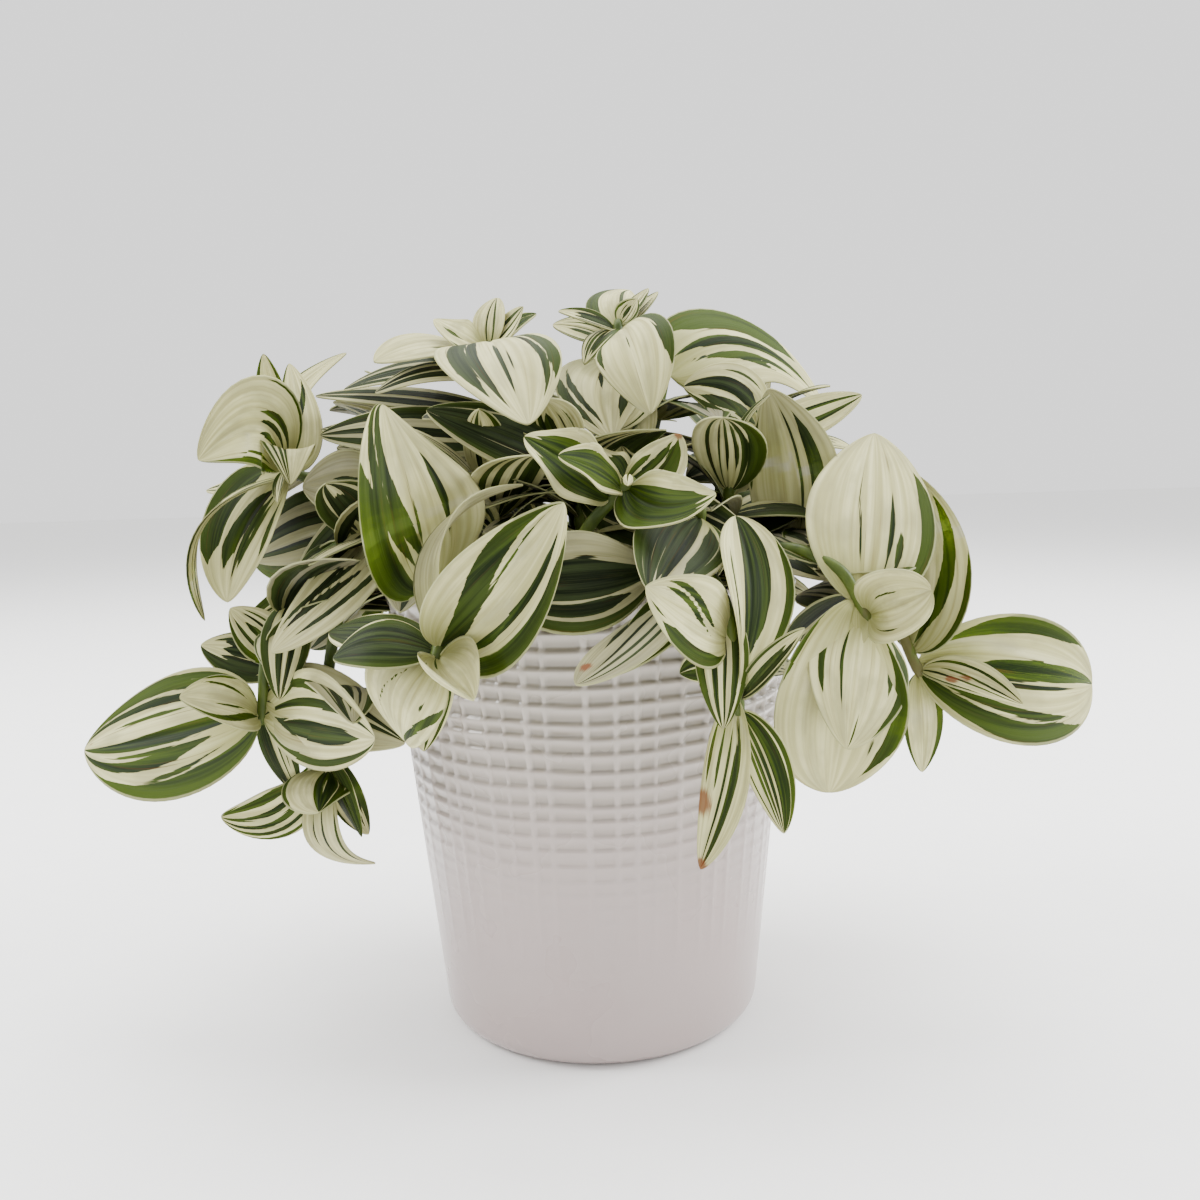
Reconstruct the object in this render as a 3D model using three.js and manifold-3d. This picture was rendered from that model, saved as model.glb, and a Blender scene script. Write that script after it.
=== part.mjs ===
// A variegated tradescantia in a glazed pot with a raised woven pattern.
//
// Millimetres, +Z up. The origin is the middle of the pot's flat base, on the surface it stands on.
// The plant grows as leafy shoots out of the soil of a plain inner pot, which stands in the glazed one.

import * as THREE from 'three';
import { mergeVertices } from 'three/addons/utils/BufferGeometryUtils.js';
import Module from 'manifold-3d';

// ---- the glazed outer pot ----
const POT_HEIGHT = 150;
const POT_TOP_RADIUS = 70;
const POT_BASE_RADIUS = 54;
const POT_WALL = 4.5;
const POT_FLOOR = 6;
const POT_CORNER = 5;
const WEAVE_TOP = 146;
const WEAVE_BOTTOM = 56;
const WEAVE_ROWS = 10;
const WEAVE_COLUMNS = 27;
const WEAVE_ROW_DEPTH = 0.9;
const WEAVE_RIB_RISE = 0.5;

// ---- the plain inner pot and its soil ----
const SEAT_GAP = 0.3;
const INNER_POT_TOP = 135;
const INNER_POT_RIM_RADIUS = 59;
const INNER_POT_BASE_RADIUS = 45;
const INNER_POT_WALL = 1.2;
const INNER_POT_LIP = 2;
const DRAIN_HOLES = 4;
const DRAIN_HOLE_RADIUS = 5;
const DRAIN_HOLE_REACH = 27;
const SOIL_EDGE = 128;
const SOIL_CROWN = 130;
const SOIL_HOLE_DEPTH = 22;

// ---- stems and leaves ----
const STEM_RADIUS = 2.2;
const STEM_SIDES = 5;
const STEM_TIP = 2.5;
const STEM_FOOT = 134;
const STEM_HOLE_GAP = 0.45;
const BLADE_THICKNESS = 0.8;
const BLADE_CLEARANCE = 0.35;
const BLADE_FREE_FROM = 0.5;
const BLADE_BASE_SHARE = 0.05;
const ROOT_OFFSET = 1.2;
const BROAD_LEAF = 30;
const NARROW_LEAF = 21;
const CURLED_LEAF = 150;
const EDGE_WAVES = 1.6;
const EDGE_WAVE_LAG = 2.2;
const SWING_REACHES = [4, 8, 12, 16, 22, 28, 36];
const SWING_WAYS = 8;

// Each shoot has the points of its stem, from the soil to its tip, and its leaves. A leaf's row is:
// place, azimuth, rise, length, width, roll, arch, cup, twist, sway, girth, wave.
// Place is how far up the stem the leaf grows, from 0 to 1. Azimuth and rise point from root to tip.
// Roll 0 has the upper side facing up. Arch bows the leaf out of its own plane and sway within it.
// Cup is how far round the blade is rolled about its length. A girth under 1 is broadest near the root.
// Wave is the height of a crinkled edge. Angles are degrees, and the other sizes are mm.
const SHOOTS = [
  {
    name: 'shoot_left',
    stem: [[-46, -12, 134], [-62, -16, 166], [-88, -21, 160], [-104, -25, 134], [-108, -26, 110]],
    leaves: [
      [0.97, 167, -13, 68, 46, -58, 5, -5, -18, 4, 0.65],
      [1, -124, 22, 31, 20, -56, 2, 60],
      [1, -40, 1, 56, 32, 90, 0, -12, 24, 2, 0.95],
      [0.94, -26, -10, 51, 28, 66, 7, -20, -19, 2, 0.65],
      [0.94, 24, -74, 33, 13, 130, 2, -20],
    ],
  },
  {
    name: 'shoot_low_left',
    stem: [[-40, -26, 134], [-58, -32, 158], [-78, -31, 146], [-87, -26, 115], [-88, -25, 92]],
    leaves: [
      [0.93, 179, -27, 40, 18, -105, 3, -17, 10, 9, 1.25],
      [1, -87, -27, 19, 23, 0, 1, -32, 10, -2],
      [1, 22, -68, 36, 19, 147, 13, -13, -4, -1],
      [0.98, -42, -52, 26, 12, 93, 1, -42, 6, 2, 0.7],
      [0.92, 32, -68, 33, 11, 103, 4, -29, 3, -1, 0.9],
    ],
  },
  {
    name: 'shoot_front_left',
    stem: [[-19, -43, 134], [-28, -64, 157], [-37, -84, 152], [-41, -92, 139]],
    leaves: [
      [0.4, -2, 2, 47, 29, 75, 6, 3, 7, -3, 1.1],
      [0.97, -20, 46, 52, 33, 97, 6, 106, -33, -4, 0.75],
      [0.9, 56, 46, 54, 25, -34, 13, 33, 11, 2],
      [0.93, 149, 2, 38, 15, -37, 5, -30, 0, 2],
      [0.97, 165, -9, 28, 16, -46, 6, -30],
      [0.99, 159, -65, 25, 31, -71, 6, 24, 10],
      [1, -61, -18, 24, 24, 16, 0, 190],
      [0.96, 114, -58, 36, 12, -172, 0, 20],
    ],
  },
  {
    name: 'shoot_front_right',
    stem: [[16, -45, 134], [27, -66, 159], [36, -84, 150], [39, -88, 122]],
    leaves: [
      [0.42, -130, -25, 56, 25, 9, -1, -29, -32, 0, 0.9],
      [0.5, -156, -30, 38, 13, -62],
      [0.8, -136, 28, 36, 23, -89, 3, 27, -10, 1],
      [0.96, 82, 66, 50, 27, 45, 6, 66, -54, 0, 1.05],
      [0.98, -34, 47, 27, 9, 72, 0, 110],
      [0.96, -176, -77, 48, 20, -30, -3, 45, -20, 1, 0.7],
      [1, 11, -71, 37, 13, 98, 0, 31, 0, 2, 0.85],
      [0.85, 127, -18, 22, 11, -105],
      [0.92, 52, -5, 32, 13, 146, -2],
    ],
  },
  {
    name: 'shoot_crinkled',
    stem: [[-8, -34, 134], [-9, -52, 152], [0, -60, 170], [12, -62, 182]],
    leaves: [
      [0.88, -169, 36, 30, 22, -60, 2, 40, 0, 0, 0.8, 2],
      [0.96, -141, 23, 24, 15, -60, 2, 50, 0, 0, 0.8, 1],
      [0.97, -49, -3, 34, 21, 53, 0, 72, 10, -5, 0.8, 1],
      [0.94, 15, 42, 23, 17, 69, 0, 109, 0, -3, 0.8, 1],
      [0.97, 124, 43, 16, 12, -27, 0, 30, 0, 0, 0.8, 1.5],
      [1, 94, 34, 19, 10, -4, 0, 30, 0, 0, 0.8, 1.5],
      [1, -93, 1, 22, 8, -1, 0, 330],
    ],
  },
  {
    name: 'shoot_middle',
    stem: [[26, -32, 134], [30, -44, 154], [33, -56, 173]],
    leaves: [
      [0.98, -112, -21, 48, 27, -26, 3, -10],
    ],
  },
  {
    name: 'shoot_top_left',
    stem: [[-16, -6, 134], [-20, -8, 165], [-27, -8, 202], [-31, -9, 227]],
    leaves: [
      [0.72, 168, 7, 65, 10, -44, 3],
      [0.62, 173, 5, 63, 14, -45, 3, -10],
      [0.86, -156, -6, 39, 12, -34, 6, -20],
      [0.9, 170, -4, 51, 14, -37, 5, -20],
      [0.97, -159, -3, 37, 23, -24, 5, -20, -21, -3, 0.9],
      [1, -74, -27, 58, 38, 6, 12, 3, -23, -3, 1.25],
      [0.99, -165, 31, 19, 19, -41, 1, 42, 0, 3],
      [1, 74, 62, 19, 12, -4, 2, 42],
      [1, -21, 48, 17, 16, 46, -1, 39],
      [0.99, 29, 36, 21, 8, 37, 1, 21, 0, 2],
    ],
  },
  {
    name: 'shoot_top_right',
    stem: [[6, -2, 134], [8, -8, 160], [9, -8, 195], [12, -1, 234]],
    leaves: [
      [0.6, -147, 13, 69, 20, -15, 8, -7, -10, -5],
      [0.9, -96, -44, 36, 29, -10, 4, -7, 3, -5],
      [0.92, -90, -48, 32, 19, -6, 3, -19, 0, 5],
      [0.84, -44, -64, 24, 20, 43, 2, -10],
      [0.98, -78, -36, 47, 26, 30, 12, -20, -17, 4, 1.2],
      [0.99, -165, 17, 20, 10, -39, 1, 69, 0, 1],
      [0.96, 154, 17, 24, 11, -51, 1, 21, 0, -1],
      [1, -130, -36, 21, 11, -10, 3, -20],
      [1, 78, 32, 29, 18, 180, -4, 24, 6, -4],
      [1, 27, 52, 11, 9, 50, 0, 100],
      [1, 46, 38, 20, 7, 15, 0, 60],
      [0.98, 47, 36, 26, 7, 14, 0, 60],
    ],
  },
  {
    name: 'shoot_far_left',
    stem: [[-46, 6, 134], [-66, 4, 164], [-86, -2, 182], [-101, -7, 190]],
    leaves: [
      [0.93, -176, -56, 57, 18, -8, 16, 20, 14, 2, 0.9],
      [0.9, 145, -5, 49, 9, -55],
      [0.96, 180, -61, 48, 37, -55, 3, 40, -21, -5, 0.75],
      [0.92, 104, 67, 40, 17, 31, 1, 21, 8, -2],
      [1, 54, 53, 49, 16, 13, -1, 24, -18, 14, 0.65],
      [1, 131, 75, 38, 12, -24, 0, 41],
      [1, -125, 6, 32, 32, -89, 8, 49, -7, -12, 0.85],
      [1, -70, -15, 18, 20, -10, 9, 70, 0, -2, 0.7],
      [1, -86, -38, 16, 6, 34, 0, 120],
    ],
  },
  {
    name: 'shoot_left_inner',
    stem: [[-38, -6, 134], [-50, -14, 158], [-66, -16, 186]],
    leaves: [
      [0.98, 176, -2, 27, 23, -84, 0, 20],
      [0.85, -145, -43, 63, 23, -31, 1, 5, -15, 4, 0.9],
      [0.9, 155, -32, 49, 17, -95],
    ],
  },
  {
    name: 'shoot_left_mid',
    stem: [[-30, -32, 134], [-38, -46, 152], [-46, -56, 154]],
    leaves: [
      [1, 177, 77, 53, 46, -39, 9, 32, 19, 6, 0.62],
    ],
  },
  {
    name: 'shoot_left_back',
    stem: [[-50, -2, 134], [-72, -2, 160], [-96, -2, 146], [-106, -1, 122]],
    leaves: [
      [0.97, -170, 47, 25, 17, -75, 3],
      [1, 170, 14, 31, 18, -64, 0, 10],
      [0.5, 168, -28, 44, 13, -84],
      [0.42, 173, -34, 41, 15, -85],
    ],
  },
  {
    name: 'shoot_right',
    stem: [[36, -36, 134], [54, -48, 160], [72, -58, 156], [80, -62, 142]],
    leaves: [
      [0.88, 164, -82, 58, 39, -107, 13, 38, 18, -4, 1],
      [0.96, 70, 56, 61, 41, 25, 4, -18, -18],
      [0.85, 134, -35, 28, 15, -154],
      [1, -117, -55, 40, 31, -35, 2, -23, 7, 0, 0.75],
      [1, -31, 23, 19, 27, 86, 5, 152, 6, 0, 0.9],
    ],
  },
  {
    name: 'shoot_far_right',
    stem: [[46, -18, 134], [68, -30, 161], [90, -38, 146], [101, -42, 122]],
    leaves: [
      [0.28, 129, 79, 53, 37, -88, -6, 24, -16, -1, 0.9],
      [0.94, 93, 76, 59, 28, -52, -6, 25, -6, -7, 0.62],
      [0.97, 19, -11, 70, 41, 82, 11, 43, 0, -2, 0.8],
      [1, -30, -16, 31, 15, 39, 1, 120, 0, 1],
      [1, 43, -85, 32, 14, 120, 2],
    ],
  },
  {
    name: 'shoot_right_inner',
    stem: [[28, 8, 134], [43, 4, 166], [60, 0, 199]],
    leaves: [
      [0.6, -110, 6, 43, 19, -21, 2],
      [0.85, -146, -13, 26, 17, -41, 2, -20],
      [1, -165, 27, 30, 24, -78, 4, -14, 9, -4, 0.7],
      [0.95, 19, 19, 43, 14, 76, 0, 20],
    ],
  },
  {
    name: 'shoot_back_right',
    stem: [[14, 18, 134], [20, 22, 178], [30, 24, 222]],
    leaves: [
      [0.98, 20, -10, 65, 42, 47, 9, -13, -20, 14, 0.6],
    ],
  },
];

// Shoots at the back and deep inside, whose leaves all follow the plant's common habit.
const PLAIN_SHOOTS = [
  {
    name: 'shoot_inner_left', leaves: 5,
    stem: [[-22, -20, 134], [-28, -26, 160], [-30, -32, 182]],
  },
  { name: 'shoot_inner_mid', stem: [[2, -18, 134], [-2, -24, 164], [-4, -26, 190]], leaves: 5 },
  { name: 'shoot_inner_right', stem: [[34, -18, 134], [42, -22, 160], [46, -28, 184]], leaves: 5 },
  {
    name: 'shoot_back_left', leaves: 6,
    stem: [[-34, 24, 134], [-58, 44, 166], [-80, 62, 156], [-92, 72, 128]],
  },
  {
    name: 'shoot_back', leaves: 6,
    stem: [[-12, 40, 134], [-20, 70, 164], [-26, 94, 152], [-28, 104, 122]],
  },
  {
    name: 'shoot_back_low', leaves: 6,
    stem: [[20, 41, 134], [38, 70, 164], [50, 90, 140], [54, 98, 104]],
  },
  {
    name: 'shoot_right_back', leaves: 6,
    stem: [[42, 25, 134], [70, 36, 165], [94, 44, 152], [106, 48, 126]],
  },
  { name: 'shoot_high_left', stem: [[-28, 14, 134], [-44, 22, 172], [-60, 30, 204]], leaves: 6 },
  { name: 'shoot_high_back', stem: [[-4, 26, 134], [-6, 44, 178], [-8, 60, 206]], leaves: 6 },
  { name: 'shoot_high_right', stem: [[32, 20, 134], [48, 34, 174], [62, 44, 202]], leaves: 6 },
];

const wasm = await Module();
wasm.setup();
const { Manifold, Mesh: SolidMesh } = wasm;

const LEAF_COLOUR = 0xb9bd92;
const radians = THREE.MathUtils.degToRad;

// ---- solids and meshes ----

function solidFromLists(positions, triangles) {
  return new Manifold(new SolidMesh({
    numProp: 3,
    vertProperties: new Float32Array(positions),
    triVerts: new Uint32Array(triangles),
  }));
}

function solidFromGeometry(geometry) {
  geometry.deleteAttribute('normal');
  geometry.deleteAttribute('uv');
  const merged = mergeVertices(geometry);
  return solidFromLists(merged.attributes.position.array, merged.index.array);
}

function meshFromSolid(name, solid, colour, roughness) {
  const { vertProperties, triVerts } = solid.getMesh();
  const geometry = new THREE.BufferGeometry();
  geometry.setAttribute('position', new THREE.BufferAttribute(vertProperties, 3));
  geometry.setIndex(new THREE.BufferAttribute(triVerts, 1));
  geometry.computeVertexNormals();
  const material = new THREE.MeshStandardMaterial({ color: colour, roughness, metalness: 0 });
  const mesh = new THREE.Mesh(geometry, material);
  mesh.name = name;
  return mesh;
}

// A closed profile of [radius, height] points, turned about the pot's axis.
function turned(profile, segments) {
  const points = profile.map(([radius, height]) => new THREE.Vector2(radius, height));
  const geometry = new THREE.LatheGeometry(points, segments);
  geometry.rotateX(Math.PI / 2);
  return geometry;
}

function upright(radius, bottom, top, sides) {
  const geometry = new THREE.CylinderGeometry(radius, radius, top - bottom, sides);
  geometry.rotateX(Math.PI / 2);
  geometry.translate(0, 0, (top + bottom) / 2);
  return geometry;
}

// ---- the glazed outer pot ----

const potRadius = (height) => POT_BASE_RADIUS + (POT_TOP_RADIUS - POT_BASE_RADIUS) * height / POT_HEIGHT;

// Each row of the weave is a shingle: proud at its top and deepest at its lower edge.
function weaveProfile() {
  const pitch = (WEAVE_TOP - WEAVE_BOTTOM) / WEAVE_ROWS;
  const profile = [];
  for (let row = 0; row < WEAVE_ROWS; row += 1) {
    const low = WEAVE_BOTTOM + row * pitch;
    const fade = Math.min(1, (row + 2) / 5);
    profile.push([potRadius(low) - WEAVE_ROW_DEPTH * fade, low + 0.18 * pitch]);
    profile.push([potRadius(low + pitch), low + pitch]);
  }
  return profile;
}

function coverPotSolid() {
  const segments = WEAVE_COLUMNS * 2;
  const profile = [
    [0, 0],
    [POT_BASE_RADIUS - POT_CORNER, 0],
    [POT_BASE_RADIUS - 0.3 * POT_CORNER, 0.3 * POT_CORNER],
    [potRadius(POT_CORNER), POT_CORNER],
    [potRadius(WEAVE_BOTTOM), WEAVE_BOTTOM],
    ...weaveProfile(),
    [POT_TOP_RADIUS, POT_HEIGHT - 1.5],
    [POT_TOP_RADIUS - 1.5, POT_HEIGHT],
    [POT_TOP_RADIUS - POT_WALL, POT_HEIGHT - 1],
    [potRadius(POT_FLOOR) - POT_WALL, POT_FLOOR],
    [0, POT_FLOOR],
  ];
  const geometry = turned(profile, segments);
  raiseRibs(geometry, profile.length);
  return solidFromGeometry(geometry);
}

// Every second line of the turned wall stands proud, as the upright ribs between the weave's cells.
function raiseRibs(geometry, profileLength) {
  const position = geometry.attributes.position;
  for (let i = 0; i < position.count; i += 1) {
    const onRib = Math.floor(i / profileLength) % 2 === 1;
    const [x, y, z] = [position.getX(i), position.getY(i), position.getZ(i)];
    const outer = Math.hypot(x, y) > potRadius(z) - POT_WALL / 2;
    const woven = z > WEAVE_BOTTOM && z <= WEAVE_TOP;
    if (onRib && outer && woven) {
      const scale = 1 + WEAVE_RIB_RISE / potRadius(z);
      position.setXY(i, x * scale, y * scale);
    }
  }
}

// ---- the inner pot and the soil in it ----

const INNER_POT_BOTTOM = POT_FLOOR + SEAT_GAP;
const INNER_FLOOR = INNER_POT_BOTTOM + INNER_POT_WALL;

function innerPotRadius(height) {
  const share = (height - INNER_POT_BOTTOM) / (INNER_POT_TOP - INNER_POT_BOTTOM);
  return INNER_POT_BASE_RADIUS + (INNER_POT_RIM_RADIUS - INNER_POT_BASE_RADIUS) * share;
}

function innerPotSolid() {
  const lipBottom = INNER_POT_TOP - 3 * INNER_POT_LIP;
  let solid = solidFromGeometry(turned([
    [0, INNER_POT_BOTTOM],
    [INNER_POT_BASE_RADIUS, INNER_POT_BOTTOM],
    [innerPotRadius(lipBottom), lipBottom],
    [INNER_POT_RIM_RADIUS + INNER_POT_LIP, lipBottom],
    [INNER_POT_RIM_RADIUS + INNER_POT_LIP, INNER_POT_TOP],
    [INNER_POT_RIM_RADIUS - INNER_POT_WALL, INNER_POT_TOP],
    [innerPotRadius(INNER_FLOOR) - INNER_POT_WALL, INNER_FLOOR],
    [0, INNER_FLOOR],
  ], 24));
  for (let k = 0; k < DRAIN_HOLES; k += 1) {
    const drill = upright(DRAIN_HOLE_RADIUS, 0, INNER_FLOOR + 1, 8);
    const angle = 2 * Math.PI * k / DRAIN_HOLES;
    drill.translate(DRAIN_HOLE_REACH * Math.cos(angle), DRAIN_HOLE_REACH * Math.sin(angle), 0);
    solid = solid.subtract(solidFromGeometry(drill));
  }
  return solid;
}

function soilSolid(stems) {
  const bottom = INNER_FLOOR + SEAT_GAP;
  const radiusAt = (height) => innerPotRadius(height) - INNER_POT_WALL - SEAT_GAP;
  let solid = solidFromGeometry(turned([
    [0, bottom],
    [radiusAt(bottom), bottom],
    [radiusAt(SOIL_EDGE), SOIL_EDGE],
    [0, SOIL_CROWN],
  ], 24));
  for (const [[x, y]] of stems) {
    const drill = upright(STEM_RADIUS + STEM_HOLE_GAP, SOIL_CROWN - SOIL_HOLE_DEPTH, STEM_FOOT, STEM_SIDES);
    drill.translate(x, y, 0);
    solid = solid.subtract(solidFromGeometry(drill));
  }
  return solid;
}

// ---- stems ----

const stemCurve = (points) => new THREE.CatmullRomCurve3(
  points.map(([x, y, z]) => new THREE.Vector3(x, y, z)), false, 'catmullrom', 0.5);

const stemSteps = (points) => 2 * points.length - 3;

// The stem runs a little past its last leaves, so that they all grow from its side.
function stemPath(points) {
  const [before, last] = points.slice(-2).map(([x, y, z]) => new THREE.Vector3(x, y, z));
  const tip = last.clone().sub(before).setLength(STEM_TIP).add(last);
  return stemCurve([...points, tip.toArray()]);
}

// A leaf's root: the point inside the faceted stem nearest to the leaf's place on the smooth one.
function rootPoint(points, place) {
  const smooth = stemCurve(points).getPoint(place);
  const corners = stemPath(points).getSpacedPoints(stemSteps(points));
  const nearest = corners.slice(1).map((corner, k) => (
    new THREE.Line3(corners[k], corner).closestPointToPoint(smooth, true, new THREE.Vector3())));
  return nearest.sort((a, b) => a.distanceTo(smooth) - b.distanceTo(smooth))[0];
}

function stemSolid(points) {
  const outline = new THREE.Shape();
  for (let k = 0; k < STEM_SIDES; k += 1) {
    const angle = 2 * Math.PI * k / STEM_SIDES;
    const place = [STEM_RADIUS * Math.cos(angle), STEM_RADIUS * Math.sin(angle)];
    if (k === 0) outline.moveTo(...place);
    else outline.lineTo(...place);
  }
  const settings = { steps: stemSteps(points), bevelEnabled: false, extrudePath: stemPath(points) };
  const above = solidFromGeometry(new THREE.ExtrudeGeometry(outline, settings));
  const [x, y] = points[0];
  const root = upright(STEM_RADIUS, SOIL_CROWN - SOIL_HOLE_DEPTH + SEAT_GAP, STEM_FOOT + 1, STEM_SIDES);
  root.translate(x, y, 0);
  return above.add(solidFromGeometry(root));
}

// ---- leaves ----

function asLeaf([place, azimuth, rise, length, width, roll = 0, arch = 0, cup = 0, twist = 0, sway = 0,
  girth = 0.8, wave = 0]) {
  return { place, azimuth, rise, length, width, roll, arch, cup, twist, sway, girth, wave };
}

// Pointed ovate: rounded at the root, and drawn in to the tip.
function outlineShare(girth, s) {
  const bulge = Math.max(0, Math.sin(Math.PI * Math.pow(s, girth)));
  return Math.max(Math.pow(bulge, 0.66), BLADE_BASE_SHARE * (1 - s));
}

// A leaf's own axes: along from root to tip, across, and out of its upper side, swung by side and lift.
function leafAxes(leaf, [side, lift]) {
  const azimuth = radians(leaf.azimuth);
  const rise = radians(leaf.rise);
  const along = new THREE.Vector3(
    Math.cos(azimuth) * Math.cos(rise), Math.sin(azimuth) * Math.cos(rise), Math.sin(rise));
  const across = new THREE.Vector3(-Math.sin(azimuth), Math.cos(azimuth), 0);
  across.applyAxisAngle(along, radians(leaf.roll));
  const normal = new THREE.Vector3().crossVectors(along, across);
  along.applyAxisAngle(normal, radians(side));
  across.applyAxisAngle(normal, radians(side));
  along.applyAxisAngle(across, radians(-lift));
  normal.applyAxisAngle(across, radians(-lift));
  return { along, across, normal };
}

// The point at share s of the length and v (-1 to 1) of the half width, lifted off the middle surface.
function bladePoint(leaf, root, { along, across, normal }, s, v, lift) {
  const slope = 4 * (1 - 2 * s);
  const tangent = along.clone().multiplyScalar(leaf.length)
    .addScaledVector(normal, leaf.arch * slope)
    .addScaledVector(across, leaf.sway * slope)
    .normalize();
  const up = normal.clone().applyAxisAngle(along, radians(leaf.twist * (s - 0.5)));
  up.addScaledVector(tangent, -up.dot(tangent)).normalize();
  const sideways = new THREE.Vector3().crossVectors(up, tangent);
  const share = outlineShare(leaf.girth, s);
  const bend = radians(leaf.cup) / 2 || 1e-3;
  const radius = leaf.width / 2 * share / bend;
  const phase = 2 * Math.PI * EDGE_WAVES * s + (v > 0 ? 0 : EDGE_WAVE_LAG);
  const ripple = leaf.wave * v * v * share * Math.sin(phase);
  const bow = 4 * s * (1 - s);
  return root.clone()
    .addScaledVector(along, ROOT_OFFSET + leaf.length * s)
    .addScaledVector(normal, leaf.arch * bow)
    .addScaledVector(across, leaf.sway * bow)
    .addScaledVector(sideways, (radius - lift) * Math.sin(v * bend))
    .addScaledVector(up, radius * (1 - Math.cos(v * bend)) + ripple + lift * Math.cos(v * bend));
}

// Where the blade is cut across its length, and into how many strips, by its size.
function bladeGrid({ width, cup }) {
  if (width > BROAD_LEAF) return { stations: [0, 0.16, 0.42, 0.75, 1], columns: 4 };
  if (cup > CURLED_LEAF) return { stations: [0, 0.2, 0.5, 0.8, 1], columns: 4 };
  if (width > NARROW_LEAF) return { stations: [0, 0.2, 0.5, 0.8, 1], columns: 2 };
  return { stations: [0, 0.3, 0.7, 1], columns: 2 };
}

// The blade as a thin closed solid, whose two faces are split into triangles alike.
function bladeSolid(leaf, root, swing, thickness, from = 0) {
  const axes = leafAxes(leaf, swing);
  const { stations, columns } = bladeGrid(leaf);
  const rows = stations.length - 1;
  const positions = [];
  stations.forEach((station, i) => {
    const s = from + (1 - from) * station;
    for (let j = 0; j <= (i < rows ? columns : 0); j += 1) {
      const v = i < rows ? 2 * j / columns - 1 : 0;
      positions.push(...bladePoint(leaf, root, axes, s, v, thickness / 2).toArray());
      positions.push(...bladePoint(leaf, root, axes, s, v, -thickness / 2).toArray());
    }
  });
  const vertex = (i, j, side) => {
    const start = i < rows ? 2 * (i * (columns + 1) + j) : 2 * rows * (columns + 1);
    return start + (side > 0 ? 0 : 1);
  };
  return solidFromLists(positions, bladeTriangles(rows, columns, vertex));
}

function bladeTriangles(rows, columns, vertex) {
  const triangles = [];
  const face = (a, b, c) => { if (a !== b && b !== c && a !== c) triangles.push(a, b, c); };
  for (let i = 0; i < rows; i += 1) {
    for (let j = 0; j < columns; j += 1) {
      face(vertex(i, j, 1), vertex(i + 1, j, 1), vertex(i + 1, j + 1, 1));
      face(vertex(i, j, 1), vertex(i + 1, j + 1, 1), vertex(i, j + 1, 1));
      face(vertex(i, j, -1), vertex(i + 1, j + 1, -1), vertex(i + 1, j, -1));
      face(vertex(i, j, -1), vertex(i, j + 1, -1), vertex(i + 1, j + 1, -1));
    }
    face(vertex(i, 0, 1), vertex(i, 0, -1), vertex(i + 1, 0, -1));
    face(vertex(i, 0, 1), vertex(i + 1, 0, -1), vertex(i + 1, 0, 1));
    face(vertex(i, columns, 1), vertex(i + 1, columns, 1), vertex(i + 1, columns, -1));
    face(vertex(i, columns, 1), vertex(i + 1, columns, -1), vertex(i, columns, -1));
  }
  for (let j = 0; j < columns; j += 1) {
    face(vertex(0, j, 1), vertex(0, j + 1, 1), vertex(0, j + 1, -1));
    face(vertex(0, j, 1), vertex(0, j + 1, -1), vertex(0, j, -1));
  }
  return triangles;
}

// ---- growing the plant ----

// Whole turns of a small seeded generator, from 0 to 1.
function seeded(seed) {
  let state = seed;
  return () => {
    state = state * 16807 % 2147483647;
    return state / 2147483647;
  };
}

// Leaves stand alternately either side of the stem's heading, the youngest and shortest at its tip.
function plainLeaves(stem, count, seed) {
  const random = seeded(seed);
  const [foot, tip] = [stem[0], stem[stem.length - 1]];
  const heading = THREE.MathUtils.radToDeg(Math.atan2(tip[1] - foot[1], tip[0] - foot[0]));
  const rows = [];
  for (let k = 0; k < count; k += 1) {
    const age = k / (count - 1);
    const side = k % 2 === 0 ? 1 : -1;
    const azimuth = heading + side * (30 + 50 * age + 20 * random());
    const rise = 45 - 70 * age + 20 * random();
    const length = 26 + 26 * Math.sqrt(age) + 6 * random();
    const width = Math.min(BROAD_LEAF, length * (0.5 + 0.1 * random()));
    const roll = 20 * random() - 10;
    rows.push([1 - 0.45 * age, azimuth, rise, length, width, roll, 3 + 5 * age, 40 - 70 * age]);
  }
  return rows;
}

const overlaps = (a, b) => a.min.every((low, k) => low <= b.max[k] && a.max[k] >= b.min[k]);

function crosses(solid, obstacles) {
  const box = solid.boundingBox();
  return obstacles.some((other) => overlaps(box, other.box) && solid.intersect(other.solid).volume() > 0);
}

const withBox = (solid) => ({ solid, box: solid.boundingBox() });

function swings() {
  const all = [[0, 0]];
  for (const reach of SWING_REACHES) {
    for (let k = 0; k < SWING_WAYS; k += 1) {
      const angle = 2 * Math.PI * k / SWING_WAYS;
      all.push([reach * Math.cos(angle), reach * Math.sin(angle)]);
    }
  }
  return all;
}

// A leaf that would cross another shoot, a pot or the soil is swung on its root until it is clear.
// Where no swing clears it, the leaf is left off.
function clearSwing(leaf, root, others, siblings) {
  const fat = BLADE_THICKNESS + 2 * BLADE_CLEARANCE;
  return swings().find((swing) => (
    !crosses(bladeSolid(leaf, root, swing, fat), others)
    && !crosses(bladeSolid(leaf, root, swing, fat, BLADE_FREE_FROM), siblings)));
}

// What joining the leaves leaves over as a loose scrap is dropped.
const largestBody = (solid) => solid.decompose().sort((a, b) => b.volume() - a.volume())[0];

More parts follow.
